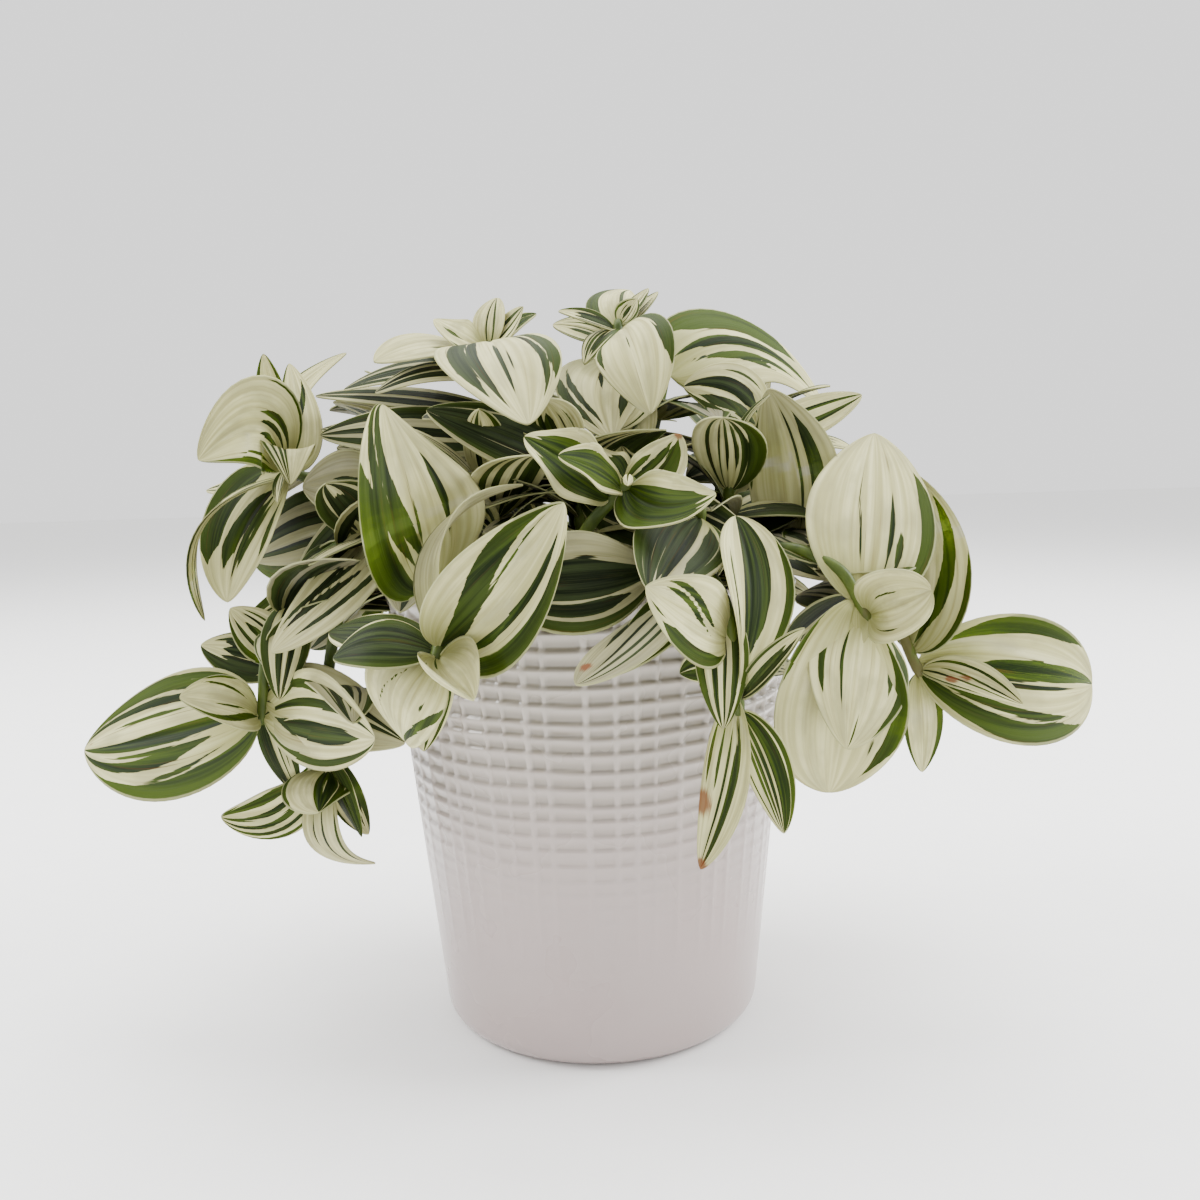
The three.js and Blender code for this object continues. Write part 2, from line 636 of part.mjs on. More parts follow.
function growShoots(shoots, pots) {
  const stems = shoots.map(({ stem }) => withBox(stemSolid(stem)));
  const grown = shoots.map(() => []);
  shoots.forEach(({ stem, leaves }, mine) => {
    for (const row of leaves) {
      const leaf = asLeaf(row);
      const root = rootPoint(stem, leaf.place);
      const others = [...pots, ...stems.filter((_, k) => k !== mine),
        ...grown.flatMap((blades, k) => (k === mine ? [] : blades.map((blade) => blade.whole)))];
      const swing = clearSwing(leaf, root, others, grown[mine].map((blade) => blade.free));
      if (swing) {
        grown[mine].push({
          whole: withBox(bladeSolid(leaf, root, swing, BLADE_THICKNESS)),
          free: withBox(bladeSolid(leaf, root, swing, BLADE_THICKNESS, BLADE_FREE_FROM)),
        });
      }
    }
  });
  return shoots.map(({ name }, mine) => {
    const joined = Manifold.union([stems[mine].solid, ...grown[mine].map((blade) => blade.whole.solid)]);
    return meshFromSolid(name, largestBody(joined), LEAF_COLOUR, 0.5);
  });
}

const plainShoots = PLAIN_SHOOTS.map(({ name, stem, leaves }, k) => (
  { name, stem, leaves: plainLeaves(stem, leaves, 11 + 17 * k) }));
const shoots = [...SHOOTS, ...plainShoots];

const coverPot = coverPotSolid();
const innerPot = innerPotSolid();
const soil = soilSolid(shoots.map(({ stem }) => stem));

const group = new THREE.Group();
group.add(meshFromSolid('cover_pot', coverPot, 0xd6cdca, 0.25));
group.add(meshFromSolid('inner_pot', innerPot, 0x2b2724, 0.5));
group.add(meshFromSolid('soil', soil, 0x2a1f18, 0.95));
group.add(...growShoots(shoots, [coverPot, innerPot, soil].map(withBox)));

export default group;
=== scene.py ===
import math
import random
from bisect import bisect_right

import bmesh
import bpy
from mathutils import Matrix, Vector
from mathutils.kdtree import KDTree
from mathutils.noise import noise


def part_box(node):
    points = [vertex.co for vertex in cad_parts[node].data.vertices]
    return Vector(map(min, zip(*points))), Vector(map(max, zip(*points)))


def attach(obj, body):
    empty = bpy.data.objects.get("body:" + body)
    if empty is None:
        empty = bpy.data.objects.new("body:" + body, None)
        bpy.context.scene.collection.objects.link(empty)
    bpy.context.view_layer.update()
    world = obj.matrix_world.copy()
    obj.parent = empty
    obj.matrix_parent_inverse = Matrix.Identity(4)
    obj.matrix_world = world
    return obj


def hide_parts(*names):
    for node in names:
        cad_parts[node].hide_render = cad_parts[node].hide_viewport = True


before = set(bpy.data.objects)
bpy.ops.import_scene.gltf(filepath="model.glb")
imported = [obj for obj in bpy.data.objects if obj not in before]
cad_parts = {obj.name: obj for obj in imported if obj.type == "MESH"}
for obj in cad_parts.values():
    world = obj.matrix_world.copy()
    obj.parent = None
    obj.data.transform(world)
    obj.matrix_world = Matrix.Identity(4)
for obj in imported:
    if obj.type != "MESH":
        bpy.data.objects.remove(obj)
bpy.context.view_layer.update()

# ---- the glazed pot ----
# A tapered stoneware cover pot, cast in one piece and glazed a glossy, faintly pink white inside and out.
# Its wall is pressed into rows of small cells, deepest at their lower edge, that fade out above the foot.

MM = 0.001

# Sockets that Blender's nodes tell apart only by their number.
OBJECT_OUTPUT = 3
FACTOR_OUTPUT = 2
Y_OUTPUT = 1
Z_OUTPUT = 2
MIX_SHARE, MIX_FIRST, MIX_SECOND, MIX_OUTPUT = 0, 6, 7, 2


class Value:
    """A shader value, so that maths on it reads as an expression."""

    def __init__(self, finish, socket):
        self.finish = finish
        self.socket = socket

    def maths(self, operation, *values):
        return self.finish.node("Math", {"operation": operation}, dict(enumerate(values)))

    def __add__(self, other):
        return self.maths("ADD", self, other)

    def __sub__(self, other):
        return self.maths("SUBTRACT", self, other)

    def __rsub__(self, other):
        return self.maths("SUBTRACT", other, self)

    def __mul__(self, other):
        return self.maths("MULTIPLY", self, other)

    def size(self):
        return self.maths("ABSOLUTE", self)

    def ramp(self, low, high):
        """0 below low and 1 above high, with a smooth change between them."""
        settings = {"interpolation_type": "SMOOTHSTEP"}
        return self.finish.node("MapRange", settings, {"Value": self, "From Min": low, "From Max": high})

    __radd__ = __add__
    __rmul__ = __mul__


class Finish:
    """A material made of nodes."""

    def __init__(self, name):
        self.material = bpy.data.materials.new(name)
        self.material.use_nodes = True
        self.material.node_tree.nodes.clear()

    def node(self, kind, settings=None, sockets=None, output=0):
        """Adds a node, with its settings first and then the values or links of its sockets."""
        made = self.material.node_tree.nodes.new("ShaderNode" + kind)
        for name, value in (settings or {}).items():
            setattr(made, name, value)
        for name, value in (sockets or {}).items():
            if isinstance(value, Value):
                self.material.node_tree.links.new(value.socket, made.inputs[name])
            else:
                made.inputs[name].default_value = value
        return Value(self, made.outputs[output]) if made.outputs else None

    def mix(self, share, first, second):
        """A colour between first and second."""
        sockets = {MIX_SHARE: share, MIX_FIRST: first, MIX_SECOND: second}
        return self.node("Mix", {"data_type": "RGBA"}, sockets, MIX_OUTPUT)

    def place(self):
        return self.node("TexCoord", output=OBJECT_OUTPUT)

    def noise(self, place, scale, detail=3.0, stretch=(1, 1, 1)):
        """Cloudy noise about 0.5, finer with a larger scale, and drawn out where stretch is small."""
        mapped = self.node("Mapping", {}, {"Vector": place, "Scale": stretch})
        return self.node("TexNoise", {}, {"Vector": mapped, "Scale": scale, "Detail": detail})

    def bump(self, height, depth):
        return self.node("Bump", {}, {"Height": height, "Strength": 1.0, "Distance": depth})

    def surface(self, **sockets):
        """Ends the material in one principled surface."""
        named = {name.replace("_", " "): value for name, value in sockets.items()}
        shader = self.node("BsdfPrincipled", {}, named)
        self.node("OutputMaterial", {}, {"Surface": shader})
        return self.material


def finish_piece(name, mesh, materials, node, smooth=True):
    """Makes the modelled mesh an object that stands for a CAD node."""
    data = bpy.data.meshes.new(name)
    mesh.to_mesh(data)
    mesh.free()
    if smooth:
        data.shade_smooth()
    piece = bpy.data.objects.new(name, data)
    bpy.context.scene.collection.objects.link(piece)
    for material in materials:
        data.materials.append(material)
    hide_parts(node)
    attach(piece, "root")
    return piece


def turn(mesh, profile, steps):
    """Spins a profile of (radius, height) points, in mm, about the pot's axis."""
    verts = [mesh.verts.new((radius * MM, 0, height * MM)) for radius, height in profile]
    edges = [mesh.edges.new(pair) for pair in zip(verts, verts[1:])]
    bmesh.ops.spin(mesh, geom=verts + edges, axis=(0, 0, 1), cent=(0, 0, 0), angle=math.tau,
                   steps=steps, use_merge=True)
    bmesh.ops.remove_doubles(mesh, verts=mesh.verts, dist=0.01 * MM)
    bmesh.ops.recalc_face_normals(mesh, faces=mesh.faces)


def smoothstep(low, high, value):
    """0 below low and 1 above high, with a smooth change between them."""
    share = min(1, max(0, (value - low) / (high - low)))
    return share * share * (3 - 2 * share)


low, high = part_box("cover_pot")
POT_HEIGHT = high.z / MM
POT_TOP_RADIUS = 70
POT_BASE_RADIUS = 54
POT_WALL = 4.5
POT_FLOOR = 6
FOOT_ROUND = 7
RIM_ROUND = 2.2
CORNER_ROUND = 5
BASE_RING = 30
FLOOR_RING = 25
PLAIN_RINGS = (12, 18, 24)
INSIDE_TOP = 140
INSIDE_STEP = 12
WEAVE_TOP = 146
WEAVE_BOTTOM = 30
WEAVE_STEP = 0.72
WEAVE_PITCH = 5
WEAVE_UNEVENNESS = 0.16
WEAVE_DEPTH = 1.5
WEAVE_COLUMNS = 27
SIDES_PER_COLUMN = 17
RIB_WIDTH = 0.95
RIB_STRENGTH = 0.85
RIB_SPLITS = (0.4, 0.42, 0.58, 0.6)
THIN_RIB = 1.25
ROW_FADE_BOTTOM = 38
ROW_FADE_TOP = 122
ROW_FAINTEST = 0.04
RIB_FADE_TOP = 44
RIB_FAINTEST = 0.1


def pot_radius(height):
    return POT_BASE_RADIUS + (POT_TOP_RADIUS - POT_BASE_RADIUS) * height / POT_HEIGHT


def arc(centre_radius, centre_height, radius, start, end, steps):
    """Points round part of a circle, from start to end degrees."""
    points = []
    for step in range(steps + 1):
        angle = math.radians(start + (end - start) * step / steps)
        points.append((centre_radius + radius * math.cos(angle), centre_height + radius * math.sin(angle)))
    return points


foot = arc(pot_radius(FOOT_ROUND) - FOOT_ROUND, FOOT_ROUND, FOOT_ROUND, -90, -4, 8)
rim = arc(POT_TOP_RADIUS - POT_WALL / 2, POT_HEIGHT - RIM_ROUND, RIM_ROUND, -4, 184, 12)
plain = [(pot_radius(height), height) for height in PLAIN_RINGS]
weave_steps = int((WEAVE_TOP - WEAVE_BOTTOM) / WEAVE_STEP) + 1
weave_heights = [WEAVE_BOTTOM + WEAVE_STEP * step for step in range(weave_steps)]
woven = [(pot_radius(height), height) for height in weave_heights]
inside_heights = range(INSIDE_TOP, POT_FLOOR + CORNER_ROUND + 1, -INSIDE_STEP)
inside = [(pot_radius(height) - POT_WALL, height) for height in inside_heights]
corner_reach = pot_radius(POT_FLOOR) - POT_WALL - CORNER_ROUND
corner = arc(corner_reach, POT_FLOOR + CORNER_ROUND, CORNER_ROUND, 0, -90, 5)
pot_profile = [(0, 0), (BASE_RING, 0), *foot, *plain, *woven, *rim, *inside, *corner,
               (FLOOR_RING, POT_FLOOR), (0, POT_FLOOR)]
pot_mesh = bmesh.new()
turn(pot_mesh, pot_profile, WEAVE_COLUMNS * SIDES_PER_COLUMN)

weave_random = random.Random(5)
row_edges = [WEAVE_TOP]
while row_edges[-1] > WEAVE_BOTTOM:
    unevenness = weave_random.uniform(1 - WEAVE_UNEVENNESS, 1 + WEAVE_UNEVENNESS)
    row_edges.append(row_edges[-1] - WEAVE_PITCH * unevenness)
row_edges.reverse()

# Each rib's place round the pot, in degrees, and how much thinner it is than the broadest.
column_pitch = 360 / WEAVE_COLUMNS
ribs = []
for column in range(WEAVE_COLUMNS):
    start = (column + weave_random.uniform(-0.1, 0.1)) * column_pitch
    ribs += [(start, 1), (start + column_pitch * weave_random.choice(RIB_SPLITS), THIN_RIB)]
ribs.append((ribs[0][0] + 360, 1))


def cell_depth(angle, height):
    """How far the wall is pressed in, from 0 to 1. The rows fade out first, and the ribs lower down."""
    wobble = 0.5 * math.sin(math.radians(3 * angle)) + 0.3 * math.sin(math.radians(8 * angle + 4 * height))
    row = bisect_right(row_edges, height + wobble) - 1
    if row < 0 or row >= len(row_edges) - 1:
        return 0
    rise = (height + wobble - row_edges[row]) / (row_edges[row + 1] - row_edges[row])
    step = smoothstep(0, 0.16, rise) * (1 - smoothstep(0.14, 1.05, rise))
    nearest = min(abs(angle - at) * thinness for at, thinness in ribs)
    gap = math.radians(nearest) * pot_radius(height)
    rib = 1 - smoothstep(0.35 * RIB_WIDTH, 1.15 * RIB_WIDTH, gap)
    row_fade = ROW_FAINTEST + (1 - ROW_FAINTEST) * smoothstep(ROW_FADE_BOTTOM, ROW_FADE_TOP, height)
    rib_fade = RIB_FAINTEST * smoothstep(WEAVE_BOTTOM, RIB_FADE_TOP, height)
    return row_fade * step * (1 - RIB_STRENGTH * rib) + rib_fade * (1 - rib)


recess = pot_mesh.verts.layers.float.new("recess")
for vert in pot_mesh.verts:
    radius, height = vert.co.xy.length / MM, vert.co.z / MM
    if WEAVE_BOTTOM <= height <= WEAVE_TOP + 0.5 and radius > pot_radius(height) - 0.5:
        angle = math.degrees(math.atan2(vert.co.y, vert.co.x)) % 360
        vert[recess] = cell_depth(angle, height)
        vert.co.xy *= 1 - WEAVE_DEPTH * vert[recess] / radius

glaze = Finish("pearl_white_glaze")
place = glaze.place()
pressed = glaze.node("Attribute", {"attribute_name": "recess"}, output=FACTOR_OUTPUT)
cloud = glaze.noise(place, 28)
rise = glaze.node("SeparateXYZ", {}, {"Vector": place}, Z_OUTPUT)
# Painted shade and reflection: the wall turns from pinkish white at the foot to a greener, greyish tone
# towards the rim, where the leaves above shade it and show in it.
glaze_colour = glaze.mix(rise.ramp(0.03, 0.14), (0.355, 0.285, 0.272, 1), (0.375, 0.338, 0.285, 1))
glaze_colour = glaze.mix(cloud.ramp(0.3, 0.7) * 0.12, glaze_colour, (0.46, 0.42, 0.40, 1))
# Painted shade: the glaze is darkened where the cells are pressed deepest, at their lower edges.
glaze_colour = glaze.mix(pressed.ramp(0.15, 0.95) * 0.6, glaze_colour, (0.15, 0.13, 0.09, 1))
orange_peel = glaze.noise(place, 420, 2)
speck = glaze.noise(place, 900, 1).ramp(0.74, 0.8)
glaze.surface(
    Base_Color=glaze.mix(speck * 0.25, glaze_colour, (0.33, 0.29, 0.25, 1)),
    Roughness=0.2 + 0.16 * cloud, IOR=1.5, Coat_Weight=0.35, Coat_Roughness=0.08,
    Normal=glaze.bump(orange_peel, 0.05 * MM))
finish_piece("glazed_cover_pot", pot_mesh, [glaze.material], "cover_pot")

# ---- the inner pot ----
# A thin black moulded nursery pot with a rolled rim and round drain holes, which the plant was grown in.
# It stands loose on the floor of the glazed pot.

low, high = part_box("inner_pot")
GROW_BOTTOM = low.z / MM
GROW_TOP = high.z / MM
GROW_RIM_RADIUS = high.x / MM
GROW_LIP = 2
GROW_WALL = 1.2
GROW_BASE_RADIUS = 45
GROW_MIDDLE = 60
GROW_MOUTH = GROW_RIM_RADIUS - GROW_LIP - GROW_WALL + 0.4
LIP_ROUND = 0.9
DRAIN_HOLES = 4
DRAIN_RADIUS = 5
DRAIN_REACH = 27


def grow_radius(height):
    share = (height - GROW_BOTTOM) / (GROW_TOP - GROW_BOTTOM)
    return GROW_BASE_RADIUS + (GROW_RIM_RADIUS - GROW_LIP - GROW_BASE_RADIUS) * share


under_lip = GROW_TOP - 3 * GROW_LIP
lip = arc(GROW_RIM_RADIUS - LIP_ROUND, GROW_TOP - LIP_ROUND, LIP_ROUND, 0, 90, 4)
grow_outside = [
    (0, GROW_BOTTOM), (GROW_BASE_RADIUS - 2, GROW_BOTTOM), (grow_radius(GROW_BOTTOM + 2), GROW_BOTTOM + 2),
    (grow_radius(GROW_MIDDLE), GROW_MIDDLE), (grow_radius(under_lip), under_lip),
    (GROW_RIM_RADIUS, under_lip)]
grow_inside = [
    (GROW_MOUTH, GROW_TOP), (grow_radius(GROW_TOP - 2) - GROW_WALL, GROW_TOP - 2),
    (grow_radius(GROW_MIDDLE) - GROW_WALL, GROW_MIDDLE),
    (grow_radius(GROW_BOTTOM) - GROW_WALL, GROW_BOTTOM + GROW_WALL), (0, GROW_BOTTOM + GROW_WALL)]
grow_mesh = bmesh.new()
turn(grow_mesh, [*grow_outside, *lip, *grow_inside], 96)

plastic = Finish("black_nursery_plastic")
scuff = plastic.noise(plastic.place(), 160, 4, (1, 1, 0.3))
plastic.surface(
    Base_Color=plastic.mix(scuff.ramp(0.5, 0.75), (0.012, 0.011, 0.01, 1), (0.04, 0.036, 0.032, 1)),
    Roughness=0.42 + 0.3 * scuff, Normal=plastic.bump(scuff, 0.06 * MM))
inner_pot = finish_piece("nursery_pot", grow_mesh, [plastic.material], "inner_pot")

drill_mesh = bmesh.new()
for hole in range(DRAIN_HOLES):
    turned = Matrix.Rotation(math.tau * hole / DRAIN_HOLES, 4, "Z")
    out = Matrix.Translation((DRAIN_REACH * MM, 0, GROW_BOTTOM * MM))
    bmesh.ops.create_cone(drill_mesh, cap_ends=True, segments=24, radius1=DRAIN_RADIUS * MM,
                          radius2=DRAIN_RADIUS * MM, depth=6 * MM, matrix=turned @ out)
drill_data = bpy.data.meshes.new("drill")
drill_mesh.to_mesh(drill_data)
drill_mesh.free()
drill = bpy.data.objects.new("drill", drill_data)
bpy.context.scene.collection.objects.link(drill)
cut = inner_pot.modifiers.new("drain_holes", "BOOLEAN")
cut.operation = "DIFFERENCE"
cut.object = drill
drilled = bpy.data.meshes.new_from_object(inner_pot.evaluated_get(bpy.context.evaluated_depsgraph_get()))
inner_pot.modifiers.clear()
inner_pot.data = drilled
bpy.data.objects.remove(drill)

# ---- the soil ----
# Damp dark potting soil that fills the inner pot, heaped a little in the middle.
# Its face is rough, with loose crumbs of peat and bark on it.

low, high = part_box("soil")
SOIL_BOTTOM = low.z / MM
SOIL_CROWN = high.z / MM
SOIL_RADIUS = high.x / MM
SOIL_EDGE = SOIL_CROWN - 2
SOIL_RINGS = 26
SOIL_SIDES = 110
SOIL_INSET = 0.4
CRUMBS = 520


def soil_height(radius):
    return SOIL_EDGE + (SOIL_CROWN - SOIL_EDGE) * (1 - radius / SOIL_RADIUS)


soil_face = []
for ring in range(SOIL_RINGS):
    reach = SOIL_RADIUS * (1 - ring / SOIL_RINGS)
    soil_face.append((reach - SOIL_INSET, soil_height(reach)))
soil_mesh = bmesh.new()
soil_foot = grow_radius(SOIL_BOTTOM) - GROW_WALL - 0.5
turn(soil_mesh, [(0, SOIL_BOTTOM), (soil_foot, SOIL_BOTTOM), *soil_face, (0, SOIL_CROWN)], SOIL_SIDES)
for vert in soil_mesh.verts:
    if vert.co.z > (SOIL_EDGE - 1) * MM and vert.co.xy.length < (SOIL_RADIUS - 1) * MM:
        vert.co.z += (1.3 * noise(vert.co * 260) + 0.6 * noise(vert.co * 700) - 0.6) * MM
crumb_random = random.Random(31)
for _ in range(CRUMBS):
    reach = (SOIL_RADIUS - 3) * math.sqrt(crumb_random.random())
    angle = crumb_random.uniform(0, math.tau)
    size = crumb_random.uniform(0.5, 1.7)
    at = Vector((reach * math.cos(angle), reach * math.sin(angle), soil_height(reach) - 0.2)) * MM
    shape = Matrix.Translation(at) @ Matrix.Rotation(angle * 5, 4, (1, 0.4, 0.8))
    shape = shape @ Matrix.Diagonal((size * 1.5, size, size * 0.7, 1))
    bmesh.ops.create_icosphere(soil_mesh, subdivisions=1, radius=MM, matrix=shape)

peat = Finish("damp_potting_soil")
place = peat.place()
grain = peat.noise(place, 900, 5)
patch = peat.noise(place, 120, 3)
peat_colour = peat.mix(grain.ramp(0.35, 0.7), (0.012, 0.008, 0.005, 1), (0.06, 0.038, 0.022, 1))
peat.surface(
    Base_Color=peat.mix(patch.ramp(0.55, 0.7) * 0.6, peat_colour, (0.09, 0.06, 0.035, 1)),
    Roughness=0.75 + 0.2 * grain, Normal=peat.bump(grain, 0.5 * MM))
finish_piece("potting_soil", soil_mesh, [peat.material], "soil", smooth=False)

# ---- the shoots ----
# Fleshy round stems that lean out over the rim, each set with pointed leaves that clasp it.
# The blades are striped lengthwise in cream and green: broad bands, thin lines and a fine grain.

# Each shoot has its stem's points and its leaves, in mm and degrees. A leaf's row is:
# place, azimuth, rise, length, width, roll, arch, cup, twist, sway, girth, wave.
SHOOTS = {
    "shoot_left": (
        ((-46, -12, 134), (-62, -16, 166), (-88, -21, 160), (-104, -25, 134), (-108, -26, 110)),
        (
            (0.97, 167, -13, 68, 46, -58, 5, -5, -18, 4, 0.65),
            (1, -124, 22, 31, 20, -56, 2, 60),
            (1, -40, 1, 56, 32, 90, 0, -12, 24, 2, 0.95),
            (0.94, -26, -10, 51, 28, 66, 7, -20, -19, 2, 0.65),
            (0.94, 24, -74, 33, 13, 130, 2, -20),
        )),
    "shoot_low_left": (
        ((-40, -26, 134), (-58, -32, 158), (-78, -31, 146), (-87, -26, 115), (-88, -25, 92)),
        (
            (0.93, 179, -27, 40, 18, -105, 3, -17, 10, 9, 1.25),
            (1, -87, -27, 19, 23, 0, 1, -32, 10, -2),
            (1, 22, -68, 36, 19, 147, 13, -13, -4, -1),
            (0.98, -42, -52, 26, 12, 93, 1, -42, 6, 2, 0.7),
            (0.92, 32, -68, 33, 11, 103, 4, -29, 3, -1, 0.9),
        )),
    "shoot_front_left": (
        ((-19, -43, 134), (-28, -64, 157), (-37, -84, 152), (-41, -92, 139)),
        (
            (0.4, -2, 2, 47, 29, 75, 6, 3, 7, -3, 1.1),
            (0.97, -20, 46, 52, 33, 97, 6, 106, -33, -4, 0.75),
            (0.9, 56, 46, 54, 25, -34, 13, 33, 11, 2),
            (0.93, 149, 2, 38, 15, -37, 5, -30, 0, 2),
            (0.97, 165, -9, 28, 16, -46, 6, -30),
            (0.99, 159, -65, 25, 31, -71, 6, 24, 10),
            (1, -61, -18, 24, 24, 16, 0, 190),
            (0.96, 114, -58, 36, 12, -172, 0, 20),
        )),
    "shoot_front_right": (
        ((16, -45, 134), (27, -66, 159), (36, -84, 150), (39, -88, 122)),
        (
            (0.42, -130, -25, 56, 25, 9, -1, -29, -32, 0, 0.9),
            (0.5, -156, -30, 38, 13, -62),
            (0.8, -136, 28, 36, 23, -89, 3, 27, -10, 1),
            (0.96, 82, 66, 50, 27, 45, 6, 66, -54, 0, 1.05),
            (0.98, -34, 47, 27, 9, 72, 0, 110),
            (0.96, -176, -77, 48, 20, -30, -3, 45, -20, 1, 0.7),
            (1, 11, -71, 37, 13, 98, 0, 31, 0, 2, 0.85),
            (0.85, 127, -18, 22, 11, -105),
            (0.92, 52, -5, 32, 13, 146, -2),
        )),
    "shoot_crinkled": (
        ((-8, -34, 134), (-9, -52, 152), (0, -60, 170), (12, -62, 182)),
        (
            (0.88, -169, 36, 30, 22, -60, 2, 40, 0, 0, 0.8, 2),
            (0.96, -141, 23, 24, 15, -60, 2, 50, 0, 0, 0.8, 1),
            (0.97, -49, -3, 34, 21, 53, 0, 72, 10, -5, 0.8, 1),
            (0.94, 15, 42, 23, 17, 69, 0, 109, 0, -3, 0.8, 1),
            (0.97, 124, 43, 16, 12, -27, 0, 30, 0, 0, 0.8, 1.5),
            (1, 94, 34, 19, 10, -4, 0, 30, 0, 0, 0.8, 1.5),
            (1, -93, 1, 22, 8, -1, 0, 330),
        )),
    "shoot_middle": (
        ((26, -32, 134), (30, -44, 154), (33, -56, 173)),
        (
            (0.98, -112, -21, 48, 27, -26, 3, -10),
        )),
    "shoot_top_left": (
        ((-16, -6, 134), (-20, -8, 165), (-27, -8, 202), (-31, -9, 227)),
        (
            (0.72, 168, 7, 65, 10, -44, 3),
            (0.62, 173, 5, 63, 14, -45, 3, -10),
            (0.86, -156, -6, 39, 12, -34, 6, -20),
            (0.9, 170, -4, 51, 14, -37, 5, -20),
            (0.97, -159, -3, 37, 23, -24, 5, -20, -21, -3, 0.9),
            (1, -74, -27, 58, 38, 6, 12, 3, -23, -3, 1.25),
            (0.99, -165, 31, 19, 19, -41, 1, 42, 0, 3),
            (1, 74, 62, 19, 12, -4, 2, 42),
            (1, -21, 48, 17, 16, 46, -1, 39),
            (0.99, 29, 36, 21, 8, 37, 1, 21, 0, 2),
        )),
    "shoot_top_right": (
        ((6, -2, 134), (8, -8, 160), (9, -8, 195), (12, -1, 234)),
        (
            (0.6, -147, 13, 69, 20, -15, 8, -7, -10, -5),
            (0.9, -96, -44, 36, 29, -10, 4, -7, 3, -5),
            (0.92, -90, -48, 32, 19, -6, 3, -19, 0, 5),
            (0.84, -44, -64, 24, 20, 43, 2, -10),
            (0.98, -78, -36, 47, 26, 30, 12, -20, -17, 4, 1.2),
            (0.99, -165, 17, 20, 10, -39, 1, 69, 0, 1),
            (0.96, 154, 17, 24, 11, -51, 1, 21, 0, -1),
            (1, -130, -36, 21, 11, -10, 3, -20),
            (1, 78, 32, 29, 18, 180, -4, 24, 6, -4),
            (1, 27, 52, 11, 9, 50, 0, 100),
            (1, 46, 38, 20, 7, 15, 0, 60),
            (0.98, 47, 36, 26, 7, 14, 0, 60),
        )),
    "shoot_far_left": (
        ((-46, 6, 134), (-66, 4, 164), (-86, -2, 182), (-101, -7, 190)),
        (
            (0.93, -176, -56, 57, 18, -8, 16, 20, 14, 2, 0.9),
            (0.9, 145, -5, 49, 9, -55),
            (0.96, 180, -61, 48, 37, -55, 3, 40, -21, -5, 0.75),
            (0.92, 104, 67, 40, 17, 31, 1, 21, 8, -2),
            (1, 54, 53, 49, 16, 13, -1, 24, -18, 14, 0.65),
            (1, 131, 75, 38, 12, -24, 0, 41),
            (1, -125, 6, 32, 32, -89, 8, 49, -7, -12, 0.85),
            (1, -70, -15, 18, 20, -10, 9, 70, 0, -2, 0.7),
            (1, -86, -38, 16, 6, 34, 0, 120),
        )),
    "shoot_left_inner": (
        ((-38, -6, 134), (-50, -14, 158), (-66, -16, 186)),
        (
            (0.98, 176, -2, 27, 23, -84, 0, 20),
            (0.85, -145, -43, 63, 23, -31, 1, 5, -15, 4, 0.9),
            (0.9, 155, -32, 49, 17, -95),
        )),
    "shoot_left_mid": (
        ((-30, -32, 134), (-38, -46, 152), (-46, -56, 154)),
        (
            (1, 177, 77, 53, 46, -39, 9, 32, 19, 6, 0.62),
        )),
    "shoot_left_back": (
        ((-50, -2, 134), (-72, -2, 160), (-96, -2, 146), (-106, -1, 122)),
        (
            (0.97, -170, 47, 25, 17, -75, 3),
            (1, 170, 14, 31, 18, -64, 0, 10),
            (0.5, 168, -28, 44, 13, -84),
            (0.42, 173, -34, 41, 15, -85),
        )),
    "shoot_right": (
        ((36, -36, 134), (54, -48, 160), (72, -58, 156), (80, -62, 142)),
        (
            (0.88, 164, -82, 58, 39, -107, 13, 38, 18, -4, 1),
            (0.96, 70, 56, 61, 41, 25, 4, -18, -18),
            (0.85, 134, -35, 28, 15, -154),
            (1, -117, -55, 40, 31, -35, 2, -23, 7, 0, 0.75),
            (1, -31, 23, 19, 27, 86, 5, 152, 6, 0, 0.9),
        )),
    "shoot_far_right": (
        ((46, -18, 134), (68, -30, 161), (90, -38, 146), (101, -42, 122)),
        (
            (0.28, 129, 79, 53, 37, -88, -6, 24, -16, -1, 0.9),
            (0.94, 93, 76, 59, 28, -52, -6, 25, -6, -7, 0.62),
            (0.97, 19, -11, 70, 41, 82, 11, 43, 0, -2, 0.8),
            (1, -30, -16, 31, 15, 39, 1, 120, 0, 1),
            (1, 43, -85, 32, 14, 120, 2),
        )),
    "shoot_right_inner": (
        ((28, 8, 134), (43, 4, 166), (60, 0, 199)),
        (
            (0.6, -110, 6, 43, 19, -21, 2),
            (0.85, -146, -13, 26, 17, -41, 2, -20),
            (1, -165, 27, 30, 24, -78, 4, -14, 9, -4, 0.7),
            (0.95, 19, 19, 43, 14, 76, 0, 20),
        )),
    "shoot_back_right": (
        ((14, 18, 134), (20, 22, 178), (30, 24, 222)),
        (
            (0.98, 20, -10, 65, 42, 47, 9, -13, -20, 14, 0.6),
        )),
}

